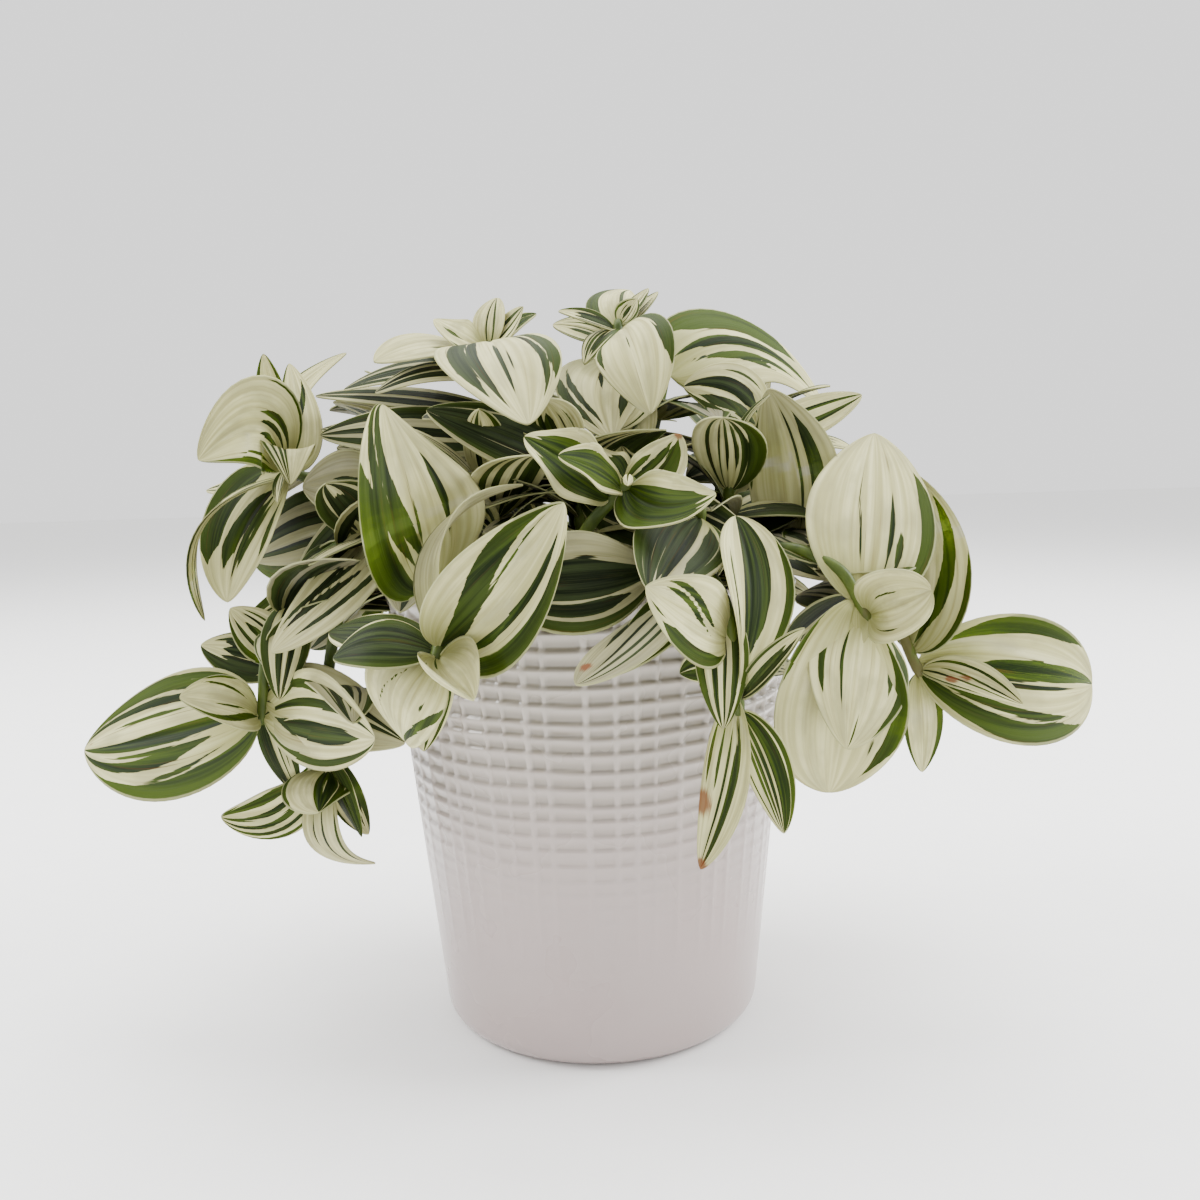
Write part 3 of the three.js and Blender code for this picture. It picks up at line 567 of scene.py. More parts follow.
# Shoots at the back and deep inside, whose leaves follow the plant's common habit: how many, and the stem.
PLAIN_SHOOTS = {
    "shoot_inner_left": (5, ((-22, -20, 134), (-28, -26, 160), (-30, -32, 182))),
    "shoot_inner_mid": (5, ((2, -18, 134), (-2, -24, 164), (-4, -26, 190))),
    "shoot_inner_right": (5, ((34, -18, 134), (42, -22, 160), (46, -28, 184))),
    "shoot_back_left": (6, ((-34, 24, 134), (-58, 44, 166), (-80, 62, 156), (-92, 72, 128))),
    "shoot_back": (6, ((-12, 40, 134), (-20, 70, 164), (-26, 94, 152), (-28, 104, 122))),
    "shoot_back_low": (6, ((20, 41, 134), (38, 70, 164), (50, 90, 140), (54, 98, 104))),
    "shoot_right_back": (6, ((42, 25, 134), (70, 36, 165), (94, 44, 152), (106, 48, 126))),
    "shoot_high_left": (6, ((-28, 14, 134), (-44, 22, 172), (-60, 30, 204))),
    "shoot_high_back": (6, ((-4, 26, 134), (-6, 44, 178), (-8, 60, 206))),
    "shoot_high_right": (6, ((32, 20, 134), (48, 34, 174), (62, 44, 202))),
}

# Older leaves inside the plant, seen between the others: first single ones, as rows like those above, each
# with its greyness and bands, and then how many more a stem has, which way they point, and their spread.
# A greyness above 0.8 also darkens the cream with painted shade; the many more get a greyness of 0.9 to
# 1.5.
OLDER_LEAVES = {
    "shoot_left": (
        ((0.62, -100, -66, 32, 16, -20, 4, -30), 0.9,
         ((-0.85, -0.85, 0.2), (-0.2, -0.2, 0.14), (0.3, 0.3, 0.12), (0.9, 0.9, 0.2))),
    ),
    "shoot_front_right": (
        ((0.64, -95, -78, 34, 15, 0, 4, -40), 0.5,
         ((-0.9, -0.9, 0.2), (-0.3, -0.3, 0.1), (0.1, 0.1, 0.06), (0.5, 0.5, 0.12), (0.95, 0.95, 0.15))),
    ),
    "shoot_far_left": (
        ((0.45, 160, -14, 52, 34, -78, 6, -15), 1.3,
         ((-0.95, -1, 0.25), (-0.35, -0.3, 0.12), (0.1, 0.15, 0.08), (0.85, 0.9, 0.3))),
        ((0.35, 168, -48, 50, 30, -84, 6, -15), 1.3,
         ((-0.9, -0.9, 0.3), (-0.2, -0.2, 0.16), (0.3, 0.3, 0.1), (0.9, 0.9, 0.2))),
    ),
    "shoot_inner_mid": (
        ((0.95, -155, 21, 50, 19, -82, 5, -10), 1.2,
         ((-0.8, -0.8, 0.14), (-0.4, -0.4, 0.19), (0.1, 0, 0.25), (0.65, 0.6, 0.24))),
        ((0.8, -24, -16, 60, 25, 75, 6, -10), 1.2,
         ((-0.8, -0.8, 0.16), (-0.35, -0.35, 0.18), (0.15, 0.1, 0.2), (0.7, 0.65, 0.24))),
    ),
    "shoot_top_left": (
        ((0.62, -176, 3, 60, 18, -68, 6, -10), 1.2,
         ((-0.7, -0.7, 0.22), (0.1, 0, 0.16), (0.6, 0.6, 0.16))),
        ((0.5, 178, 12, 60, 20, -66, 6, -10), 1.2,
         ((-0.8, -0.8, 0.2), (-0.1, -0.1, 0.1), (0.75, 0.7, 0.2))),
    ),
}
INNER_LEAVES = {
    "shoot_left": (6, -60, 80), "shoot_low_left": (4, -60, 80), "shoot_left_inner": (7, -60, 110),
    "shoot_left_back": (7, -60, 100), "shoot_far_left": (8, 100, 80), "shoot_top_left": (8, 90, 110),
    "shoot_top_right": (8, 90, 110), "shoot_front_right": (2, 60, 60), "shoot_right": (7, 100, 80),
    "shoot_far_right": (8, 110, 80), "shoot_right_inner": (7, 90, 90), "shoot_back_right": (7, -150, 90),
    **dict.fromkeys(PLAIN_SHOOTS, (8, -90, 180)),
}

# The leaves that show best: how far their green has turned ashen, up to 1, and their green bands. From 0.8
# upwards the greyness also darkens the cream with painted shade, for the leaves that lie in shade. A band
# is its middle at the leaf's root and at its tip, from -1 to 1 across the blade, its half width, and where
# along the leaf it starts and ends, if not at root and tip.
STRIPES = {
    "shoot_left": {
        0: (0.1, ((-0.8, -1.05, 0.06), (-0.6, -0.95, 0.07), (-0.4, -0.75, 0.06),
                  (-0.28, -0.45, 0.03, 0.3, 0.85), (-0.05, 0.1, 0.1), (0.05, 0.4, 0.03, 0.3, 0.85),
                  (0.1, 0.65, 0.1, 0.2), (0.35, 1, 0.04, 0.15, 0.6), (0.85, 1.35, 0.33))),
        1: (0.2, ((-0.42, -0.95, 0.04, 0.15, 0.8), (-0.1, 0.1, 0.03, 0.1, 0.65), (0.05, 1.05, 0.14),
                  (-1, -1, 0.1, 0.25, 0.8))),
        2: (0.6, ((-0.85, -0.8, 0.07), (-0.2, -0.28, 0.15, 0.1, 0.88), (0.3, 0.38, 0.08),
                  (0.95, 0.35, 0.09, 0.1, 0.75))),
        3: (1.05, ((-0.5, -0.6, 0.17, 0.08, 0.8), (0, 0.1, 0.07), (0.6, 0.3, 0.08))),
    },
    "shoot_low_left": {
        0: (0.4, ((-1, -0.6, 0.16), (-0.6, 0.1, 0.11), (-0.25, 0.6, 0.09), (0.2, 0.9, 0.07),
                  (0.6, 1.1, 0.06))),
        1: (0.2, ((-1, -1, 0.12, 0.1, 0.8), (0.08, 0.08, 0.13), (0.33, 0.33, 0.09), (0.52, 0.5, 0.07),
                  (0.7, 0.7, 0.08), (0.92, 0.92, 0.1))),
        2: (1, ((-0.3, -0.3, 0.04, 0.2, 0.6), (0.15, 0.1, 0.06, 0.2, 0.9), (0.85, 0.7, 0.06, 0.2, 0.9))),
        3: (0.5, ((-0.5, -0.5, 0.45), (0.5, 0.5, 0.42))),
    },
    "shoot_front_left": {
        0: (1.2, ((-0.95, -0.9, 0.14), (-0.6, -0.5, 0.13, 0, 0.85), (-0.2, -0.1, 0.19), (0.2, 0.2, 0.17),
                  (0.5, 0.45, 0.05, 0.5, 0.7))),
        1: (0.5, ((-0.78, -0.92, 0.2, 0, 0.88), (-0.34, -0.4, 0.07, 0.05, 0.9),
                  (-0.05, 0.5, 0.02, 0.1, 0.95), (-0.05, 1, 0.17))),
        2: (1.1, ((1, 1, 0.06),)),
        3: (0.8, ((-0.6, -0.5, 0.38), (0.25, 0.1, 0.3), (0.85, 0.6, 0.2))),
        4: (0.8, ((-0.75, -0.6, 0.22), (-0.2, -0.2, 0.26), (0.55, 0.55, 0.44))),
        5: (0.3, ((-0.1, -0.9, 0.02, 0.1, 0.8), (1.3, 0.2, 0.11, 0.25), (0.5, 0.4, 0.06, 0.33, 0.52))),
        6: (0.3, ((-0.45, -0.9, 0.06, 0.1, 0.55), (-0.25, -0.3, 0.04, 0, 0.3))),
        7: (0.3, ((-0.3, 0.2, 0.15, 0.2), (0.75, 0.8, 0.1))),
    },
    "shoot_front_right": {
        0: (1.25, ((-0.7, -0.3, 0.1, 0.1, 0.7), (-0.1, 0.1, 0.06, 0.3, 0.9), (0.5, 0.3, 0.05),
                   (0.75, 0.6, 0.04))),
        2: (0.4, ((0.25, -1, 0.09, 0.2, 0.9), (0.55, -0.75, 0.08, 0.25, 0.9), (0.9, 0.75, 0.22, 0.05, 0.8),
                  (0.45, 0.6, 0.12, 0.75, 0.95))),
        3: (0.5, ((-0.95, -1, 0.13, 0.1, 0.85), (0, -0.25, 0.3, 0.1), (0.35, 0.65, 0.035, 0.2, 0.8),
                  (0.55, 0.5, 0.03, 0.1, 0.5), (0.75, 0.7, 0.04, 0.1, 0.45))),
        5: (0.5, ((-0.85, -0.85, 0.05, 0.1, 0.55), (-0.5, -0.55, 0.05, 0.12, 0.6),
                  (-0.15, -0.3, 0.05, 0.12), (0.15, 0.12, 0.15, 0.1))),
        6: (0.3, ((-0.85, -0.85, 0.03), (-0.5, -0.5, 0.07), (-0.32, -0.3, 0.06), (-0.12, -0.05, 0.07),
                  (0.38, 0.4, 0.27), (0.87, 0.85, 0.1))),
        7: (0.3, ((-0.5, -0.5, 0.35), (0.45, 0.4, 0.4))),
    },
    "shoot_crinkled": {
        0: (0.1, ((-0.5, -0.45, 0.2, 0, 0.92), (-0.1, -0.1, 0.17), (0.28, 0.25, 0.18),
                  (0.62, 0.58, 0.12, 0, 0.85))),
        1: (0, ((-0.55, -0.5, 0.2), (-0.15, -0.1, 0.18), (0.25, 0.25, 0.18), (0.6, 0.55, 0.14))),
        2: (0.1, ((-0.72, -0.7, 0.25, 0, 0.95), (-0.3, -0.3, 0.15), (0.2, 0.15, 0.3, 0, 0.95))),
        3: (0.3, ((-0.6, -0.1, 0.3, 0, 0.95), (0.25, 0.3, 0.14, 0, 0.9), (0.65, 0.6, 0.1, 0, 0.6))),
        6: (0.1, ()),
    },
    "shoot_middle": {
        0: (1.2, ((-0.85, -0.85, 0.11), (-0.57, -0.6, 0.11), (-0.32, -0.35, 0.1),
                  (-0.06, -0.1, 0.1, 0, 0.95), (0.17, 0.1, 0.08), (0.5, 0.6, 0.16, 0.1, 0.8),
                  (0.87, 0.8, 0.09))),
    },
    "shoot_top_left": {
        0: (1.1, ((-0.4, -0.4, 0.25), (0.5, 0.4, 0.25))),
        1: (1.1, ((-0.5, -0.4, 0.25), (0.4, 0.4, 0.25))),
        2: (1.1, ((-0.85, -0.8, 0.12), (-0.2, -0.2, 0.2), (0.5, 0.4, 0.25))),
        3: (1.1, ((-0.7, -0.6, 0.2), (0.1, 0.2, 0.28), (0.8, 0.7, 0.13))),
        4: (0.3, ((0.6, 0.5, 0.04, 0.2, 0.6),)),
        5: (0.9, ((-0.55, -0.75, 0.14, 0, 0.88), (-0.33, -0.45, 0.08, 0.2, 0.94),
                  (0, 0.02, 0.035, 0.3, 0.9), (0.1, 0.2, 0.025, 0.5, 0.75), (0.4, 0.85, 0.06, 0.1, 0.9),
                  (0.65, 1, 0.09, 0, 0.8))),
        6: (0.3, ((0.05, 0.1, 0.12, 0.4, 0.85), (0.85, 0.85, 0.18, 0, 0.6))),
        7: (0.4, ((-0.3, -0.2, 0.07), (0.2, 0.2, 0.05))),
        8: (0.3, ((-0.4, -0.4, 0.08), (0.1, 0.1, 0.06), (0.6, 0.5, 0.1))),
        9: (0, ((-0.4, -0.4, 0.4), (0.5, 0.5, 0.35))),
    },
    "shoot_top_right": {
        0: (1.2, ((-0.6, -0.5, 0.3), (0.15, 0.15, 0.22), (0.72, 0.7, 0.2))),
        1: (1, ((-1.4, -0.4, 0.13, 0.3, 0.92), (-1.2, 0, 0.09, 0.3, 0.9), (-0.2, 0.3, 0.05, 0.1, 0.5),
                (0.45, 0.7, 0.11, 0.4, 0.87))),
        2: (0.8, ((-0.45, -0.05, 0.14, 0.4, 0.88), (0.8, 0.8, 0.05))),
        3: (0.8, ((-0.1, -0.3, 0.1, 0.1, 0.6),)),
        4: (0.8, ((-0.9, -0.85, 0.07, 0.2, 0.7), (-0.1, -0.1, 0.03, 0.4, 0.6), (0.5, 0.78, 0.05, 0.4, 0.7),
                  (0.92, 0.97, 0.25, 0.1, 0.8))),
        8: (0.4, ((-0.8, -0.7, 0.25), (0.4, 0.4, 0.07))),
    },
    "shoot_far_left": {
        0: (0.8, ((-0.95, -0.95, 0.12), (-0.3, -0.2, 0.14), (0.3, 0.25, 0.05), (0.9, 0.9, 0.14))),
        1: (0.5, ((-0.6, -0.5, 0.2), (0.4, 0.3, 0.15))),
        2: (0.5, ((-0.72, -0.85, 0.27, 0.05, 0.8), (0.08, -0.35, 0.16, 0.1, 0.82),
                  (0.27, 0.05, 0.07, 0.1, 0.87), (0.4, 0.2, 0.05, 0.15, 0.82), (0.6, 1, 0.08, 0.1, 0.62))),
        3: (0.4, ((0.9, -0.9, 0.14, 0.2, 0.88), (0.9, 0.9, 0.1))),
        4: (0.4, ((-0.95, -0.9, 0.12, 0, 0.7), (-0.25, -0.25, 0.07, 0.08, 0.33), (0, 0, 0.06, 0.08, 0.33),
                  (0.25, 0.25, 0.06, 0.1, 0.33), (0.5, 0.5, 0.07, 0.1, 0.36), (0.97, 0.95, 0.08))),
        5: (0.2, ((-0.9, -0.9, 0.2), (0.9, 0.9, 0.2))),
        6: (0.4, ((-0.5, -0.1, 0.07, 0.02, 0.5), (-0.3, 0.15, 0.06, 0.04, 0.5),
                  (-0.05, 0.4, 0.07, 0.04, 0.5), (-0.95, -0.95, 0.05, 0, 0.5), (0.9, 0.92, 0.16),
                  (0.6, 0.58, 0.04, 0.1, 0.8))),
        7: (0.4, ((-0.9, -0.9, 0.16), (-0.45, -0.42, 0.06), (-0.22, -0.2, 0.06), (0, 0, 0.05))),
    },
    "shoot_left_inner": {
        0: (1.3, ((-0.05, -0.3, 0.06, 0.25, 0.65),)),
        1: (1, ((0.5, -1, 0.09, 0.3, 0.92), (0.9, -0.7, 0.11, 0.35, 0.92), (0, -0.8, 0.06, 0.3, 0.8),
                (1.1, 0.1, 0.09, 0.2, 0.9), (-0.6, -1, 0.1, 0.1, 0.6))),
        2: (1.2, ((-0.5, -0.5, 0.35), (0.25, 0.25, 0.2), (0.8, 0.75, 0.15))),
    },
    "shoot_left_mid": {
        0: (0.6, ((-0.42, -0.5, 0.05, 0.2, 0.77), (-0.05, 0.7, 0.1, 0.1), (0.12, 0.97, 0.08, 0.12),
                  (0.72, 1.1, 0.28, 0, 0.65), (0.05, -0.1, 0.02, 0.1, 0.5))),
    },
    "shoot_right": {
        0: (0.3, ((-1, -1, 0.1, 0.05, 0.45), (0.6, 0.6, 0.05, 0.6, 0.76), (1.05, 0.75, 0.11, 0.02, 0.87))),
        1: (0.5, ((-0.9, -0.85, 0.12, 0.05, 0.78), (-0.48, -0.45, 0.08, 0.15, 0.43),
                  (-0.3, -0.3, 0.04, 0.15, 0.62), (0.15, 0.25, 0.02, 0.1, 0.65))),
        2: (1.1, ((-0.5, -0.5, 0.4), (0.35, 0.5, 0.17), (0.9, 0.9, 0.1))),
        3: (0.4, ((-0.75, -0.8, 0.06, 0.1, 0.7), (-0.45, -0.3, 0.03, 0.06, 0.77), (0.15, 0.15, 0.05, 0.75),
                  (0.55, 0.7, 0.06, 0.1, 0.57), (0.82, 1, 0.1, 0.03, 0.9))),
        4: (0.4, ((0.4, 0.15, 0.02, 0.08, 0.68), (-0.6, -0.55, 0.03, 0.15, 0.5))),
    },
    "shoot_far_right": {
        0: (1.05, ((-0.45, -0.5, 0.13, 0.1, 0.85), (-0.12, -0.1, 0.035, 0.1, 0.92),
                   (0.97, 0.9, 0.08, 0.4, 0.9))),
        1: (0.3, ((0.1, -0.95, 0.17, 0.02, 0.82), (-0.9, -1, 0.12, 0, 0.5), (0.3, 0.3, 0.07, 0.35, 0.7),
                  (0.9, 0.9, 0.12, 0.35, 0.7))),
        2: (0.25, ((-0.62, -1.08, 0.17, 0, 0.8), (-0.3, -0.8, 0.06, 0, 0.75),
                   (-0.1, -0.1, 0.035, 0.2, 0.82), (0.02, 0.27, 0.14, 0.1), (0.7, 1.08, 0.13, 0.05, 0.8))),
        3: (0.3, ((-0.8, -0.7, 0.22, 0, 0.66), (0.1, -0.35, 0.06), (0.4, -0.05, 0.05, 0.1),
                  (0.8, 0.4, 0.06))),
        4: (0.4, ((-0.9, -0.9, 0.08), (0.85, 0.9, 0.2))),
    },
    "shoot_right_inner": {
        0: (1.3, ((-0.7, -0.4, 0.25), (0.2, 0.3, 0.3), (0.9, 0.85, 0.15))),
        1: (1.3, ((-0.3, -0.2, 0.35), (0.65, 0.6, 0.25))),
        2: (0.9, ((-0.68, -0.75, 0.05, 0.2, 0.65), (-0.25, -0.25, 0.2, 0.1), (0.08, 0.6, 0.15, 0.02, 0.87),
                  (0.5, 1.02, 0.17, 0.05))),
        3: (0.3, ((-0.3, -0.3, 0.12), (0.4, 0.35, 0.1))),
    },
    "shoot_back_right": {
        0: (0.25, ((0.95, 0.55, 0.32, 0.05, 0.8), (0.28, 0, 0.1, 0.05, 0.95),
                   (-0.02, -0.5, 0.06, 0.1, 0.85), (0.12, -0.9, 0.07, 0.1, 0.7),
                   (-0.9, -0.9, 0.08, 0, 0.4))),
    },
}

# Brown, dried specks, as (across, along, reach), with the reach as a share of the leaf's length.
SPECKS = {
    ("shoot_front_right", 0): ((-0.5, 0.86, 0.05),),
    ("shoot_front_right", 5): ((-0.9, 0.66, 0.1), (0, 1, 0.06), (-0.4, 0.98, 0.04)),
    ("shoot_crinkled", 3): ((0, 1, 0.09),),
    ("shoot_far_right", 3): ((-0.2, 0.3, 0.08), (0.1, 0.42, 0.05)),
    ("shoot_left", 0): ((-0.3, 0.94, 0.015),),
    ("shoot_far_right", 2): ((-0.3, 0.36, 0.02),),
}

STEM_RADIUS = 2.2
STEM_END_RADIUS = 1.2
STEM_TAPER = 0.22
STEM_TIP = 2.5
STEM_STEPS = 9
STEM_FOOT_DEPTH = 18
BLADE_HALF = 0.4
BLADE_BASE_SHARE = 0.05
BLADE_FULLNESS = 0.66
BLADE_THICKNESS = 0.5
ROOT_OFFSET = 1.2
BROAD_LEAF = 30
EDGE_WAVES = 1.6
EDGE_WAVE_LAG = 2.2
SWING_REACHES = (4, 8, 12, 16, 22, 28, 36)
SWING_WAYS = 8
SAME_POINT = 0.05
ARC_STEPS = 200
LEAF_DEFAULTS = (0, 0, 0, 0, 0, 0.8, 0)
BAND_ENDS = (0, 1)
BAND_WIDTH = 1.12
BAND_SWELL = 0.25
BAND_WANDER = 0.04
BAND_START_TAPER = 0.2
BAND_END_TAPER = 0.14
CREAM = -1
DRAW_FACTOR = 16807
DRAW_LIMIT = 2147483647
PLAIN_SEED = 11
PLAIN_SEED_STEP = 17
SHOOT_SEED = 100
PLAIN_SHOOT_SEED = 200
MIDRIB_DEPTH = 0.5
MIDRIB_WIDTH = 0.07
BLADE_LAYERS = ("band", "wither", "greyness_and_shade", "drift")

# How many cells a blade's sheet has across it and along it.
SHOWN_CELLS = (60, 28)
SMALL_CELLS = (40, 20)
INNER_CELLS = (28, 12)


def stem_point(points, share):
    """A point on the smooth curve through the stem's points."""
    spans = len(points) - 1
    span = min(int(share * spans), spans - 1)
    t = share * spans - span
    start, end = points[span], points[span + 1]
    before = points[span - 1] if span else 2 * start - end
    after = points[span + 2] if span + 2 <= spans else 2 * end - start
    leave, arrive = (end - before) / 2, (after - start) / 2
    return (start + leave * t + (3 * (end - start) - 2 * leave - arrive) * t ** 2
            + (2 * (start - end) + leave + arrive) * t ** 3)


def stem_path(points):
    """The stem's points, and the little that it runs on past its last leaves."""
    return [*points, points[-1] + (points[-1] - points[-2]).normalized() * STEM_TIP]


def stem_corners(points):
    """The corners of the stem's facets, evenly spaced along its curve."""
    path = stem_path(points)
    fine = [stem_point(path, step / ARC_STEPS) for step in range(ARC_STEPS + 1)]
    reached = [0]
    for a, b in zip(fine, fine[1:]):
        reached.append(reached[-1] + (b - a).length)
    count = 2 * len(points) - 3
    corners = [path[0]]
    for step in range(1, count):
        target = reached[-1] * step / count
        k = bisect_right(reached, target) - 1
        share = (k + (target - reached[k]) / (reached[k + 1] - reached[k])) / ARC_STEPS
        corners.append(stem_point(path, share))
    return [*corners, path[-1]]


def root_point(points, corners, place):
    """The point inside the stem that a leaf grows from."""
    smooth = stem_point(points, place)
    feet = []
    for a, b in zip(corners, corners[1:]):
        share = min(1, max(0, (smooth - a).dot(b - a) / (b - a).length_squared))
        feet.append(a.lerp(b, share))
    return min(feet, key=lambda foot: (foot - smooth).length)


class Leaf:
    """A blade's shape: points go from root to tip by s, and from edge to edge by v."""

    def __init__(self, row, points, corners):
        given = len(row) - 5
        (self.place, azimuth, rise, self.length, self.width, roll, self.arch, self.cup, self.twist,
         self.sway, self.girth, self.wave) = (*row, *LEAF_DEFAULTS[given:])
        self.root = root_point(points, corners, self.place)
        azimuth, rise = math.radians(azimuth), math.radians(rise)
        self.along = Vector((math.cos(azimuth) * math.cos(rise), math.sin(azimuth) * math.cos(rise),
                             math.sin(rise)))
        flat = Vector((-math.sin(azimuth), math.cos(azimuth), 0))
        self.across = Matrix.Rotation(math.radians(roll), 3, self.along) @ flat
        self.normal = self.along.cross(self.across)

    def swing(self, side, lift):
        turned = Matrix.Rotation(math.radians(side), 3, self.normal)
        self.along, self.across = turned @ self.along, turned @ self.across
        raised = Matrix.Rotation(math.radians(-lift), 3, self.across)
        self.along, self.normal = raised @ self.along, raised @ self.normal

    def section(self, s):
        """The middle, side and up directions and half width of the blade at s."""
        bow, slope = 4 * s * (1 - s), 4 * (1 - 2 * s)
        tangent = (self.along * self.length + self.normal * self.arch * slope
                   + self.across * self.sway * slope).normalized()
        up = Matrix.Rotation(math.radians(self.twist * (s - 0.5)), 3, self.along) @ self.normal
        up = (up - tangent * up.dot(tangent)).normalized()
        middle = (self.root + self.along * (ROOT_OFFSET + self.length * s)
                  + self.normal * self.arch * bow + self.across * self.sway * bow)
        bulge = max(0, math.sin(math.pi * s ** self.girth)) ** BLADE_FULLNESS
        return middle, up.cross(tangent), up, max(bulge, BLADE_BASE_SHARE * (1 - s))

    def tips(self):
        middle, _, up, _ = self.section(1)
        return middle + up * BLADE_HALF, middle - up * BLADE_HALF


def leaf_on_node(row, points, corners, tree):
    """The leaf as it is swung in its CAD node, or None where it was left off there."""
    swings = [(0, 0)]
    for reach in SWING_REACHES:
        for way in range(SWING_WAYS):
            angle = math.tau * way / SWING_WAYS
            swings.append((reach * math.cos(angle), reach * math.sin(angle)))
    for side, lift in swings:
        leaf = Leaf(row, points, corners)
        leaf.swing(side, lift)
        if all(tree.find(tip)[2] < SAME_POINT for tip in leaf.tips()):
            return leaf
    return None


def plain_rows(points, count, seed):
    """Leaves alternately either side of the stem's heading, the youngest and shortest at its tip."""
    state = seed

    def draw():
        nonlocal state
        state = state * DRAW_FACTOR % DRAW_LIMIT
        return state / DRAW_LIMIT

    way = points[-1] - points[0]
    heading = math.degrees(math.atan2(way.y, way.x))
    rows = []
    for k in range(count):
        age = k / (count - 1)
        side = 1 if k % 2 == 0 else -1
        azimuth = heading + side * (30 + 50 * age + 20 * draw())
        rise = 45 - 70 * age + 20 * draw()
        length = 26 + 26 * math.sqrt(age) + 6 * draw()
        width = min(BROAD_LEAF, length * (0.5 + 0.1 * draw()))
        roll = 20 * draw() - 10
        rows.append((1 - 0.45 * age, azimuth, rise, length, width, roll, 3 + 5 * age, 40 - 70 * age))
    return rows


def inner_rows(count, heading, spread, chance):
    """Older leaves lower down a stem, turned about the heading, that fill the inside of the plant."""
    rows = []
    for k in range(count):
        place = 0.2 + 0.7 * k / count
        azimuth = heading + spread * chance.uniform(-1, 1)
        length = chance.uniform(30, 46)
        rows.append((place, azimuth, chance.uniform(-20, 35), length, length * chance.uniform(0.5, 0.68),
                     chance.uniform(-25, 25), chance.uniform(2, 7), chance.uniform(-20, 40)))
    return rows


def chance_bands(chance):
    """Green bands like those of the leaves that show: broad margins, and a few bands and lines between."""
    bands = []
    for edge in (-1, 1):
        if chance.random() < 0.7:
            half = chance.uniform(0.1, 0.3)
            bands.append((edge * (1 - half * 0.5), edge * (1.1 - half * 0.4), half))
    at = chance.uniform(-0.7, -0.5)
    while at < 0.6:
        half = chance.choice((0.03, 0.05, 0.08, 0.12, 0.16, 0.2))
        lean = 0.75 + chance.uniform(0, 0.5)
        bands.append((at, at * lean, half, chance.choice((0, 0, 0.15)), chance.choice((1, 0.9, 0.75))))
        at += half + chance.uniform(0.12, 0.32)
    return bands


def bands_at(bands, s, drift):
    """The middle and half width of each green band at s. The width is negative past the band's ends."""
    found = []
    for at_root, at_tip, half, *ends in bands:
        start, end = (*ends, *BAND_ENDS[len(ends):])
        swell = BAND_WIDTH + BAND_SWELL * noise(Vector((at_root * 9, s * 3, drift)))
        opening = (s - start) / BAND_START_TAPER + (start == 0)
        closing = (end - s) / BAND_END_TAPER + (end == 1)
        taper = min(1, opening, closing)
        wander = BAND_WANDER * noise(Vector((at_root * 5, s * 2.5, drift + 7)))
        found.append((at_root + (at_tip - at_root) * s + wander, half * swell * taper))
    return found


def witherings(specks, v, s, width, length):
    """How dried and brown a point is, from 0 to 1."""
    best = 0
    for across, along, reach in specks:
        gap = math.hypot((v - across) * width / 2 / length, s - along)
        best = max(best, 1 - gap / reach)
    return best


def add_blade(mesh, leaf, bands, specks, drift, greyness_and_shade, cells):
    """A thin sheet laid on the leaf's shape, which keeps its bands, specks and greyness at each point; a
    greyness from 0.8 upwards also carries painted shade.
    """
    columns, rows = cells
    verts = bmesh.ops.create_grid(mesh, x_segments=columns, y_segments=rows, size=0.5)["verts"]
    layers = mesh.verts.layers
    bend = math.radians(leaf.cup) / 2 or 1e-3
    places, sections = {}, {}
    for vert in verts:
        key = round(vert.co.y, 5)
        if key not in sections:
            s = 0.5 - 0.5 * math.cos(math.pi * min(1, max(0, vert.co.y + 0.5)))
            sections[key] = (s, bands_at(bands, s, drift), *leaf.section(s))
        s, green_here, middle, sideways, up, share = sections[key]
        v = max(-1, min(1, 2 * vert.co.x))
        radius = leaf.width / 2 * share / bend
        phase = math.tau * EDGE_WAVES * s + (0 if v > 0 else EDGE_WAVE_LAG)
        ripple = leaf.wave * v * v * share * math.sin(phase)
        groove = math.exp(-(v / MIDRIB_WIDTH) ** 2) * min(1, 3 * (1 - s)) * min(1, leaf.width / BROAD_LEAF)
        ripple -= MIDRIB_DEPTH * groove
        vert.co = (middle + sideways * radius * math.sin(v * bend)
                   + up * (radius * (1 - math.cos(v * bend)) + ripple)) * MM
        vert[layers.float["band"]] = max([half - abs(v - at) for at, half in green_here], default=CREAM)
        vert[layers.float["wither"]] = witherings(specks, v, s, leaf.width * share, leaf.length)
        vert[layers.float["greyness_and_shade"]] = greyness_and_shade
        vert[layers.float["drift"]] = drift
        places[vert] = ((v + 1) / 2, s)
    uv = mesh.loops.layers.uv["blade"]
    faces = {face for vert in verts for face in vert.link_faces}
    for face in faces:
        for loop in face.loops:
            loop[uv].uv = places[loop.vert]
    bmesh.ops.solidify(mesh, geom=list(faces), thickness=BLADE_THICKNESS * MM)


def add_tube(mesh, path, radii, sides=14):
    """A closed round tube along a path of points."""
    verts = bmesh.ops.create_grid(mesh, x_segments=sides, y_segments=len(path) + 1, size=0.5)["verts"]
    rings = []
    side = Vector((0, 1, 0))
    for k, point in enumerate(path):
        tangent = (path[min(k + 1, len(path) - 1)] - path[max(k - 1, 0)]).normalized()
        side = (side - tangent * side.dot(tangent)).normalized()
        rings.append((point, side.copy(), tangent.cross(side), radii[k]))
    rings = [(*rings[0][:3], 0), *rings, (*rings[-1][:3], 0)]
    for vert in verts:
        centre, side, other, radius = rings[round((vert.co.y + 0.5) * (len(rings) - 1))]
        angle = math.tau * (vert.co.x + 0.5)
        vert.co = (centre + (side * math.cos(angle) + other * math.sin(angle)) * radius) * MM
    faces = {face for vert in verts for face in vert.link_faces}
    for face in faces:
        face.material_index = 1
    bmesh.ops.remove_doubles(mesh, verts=verts, dist=0.01 * MM)
    bmesh.ops.recalc_face_normals(mesh, faces=[face for face in faces if face.is_valid])


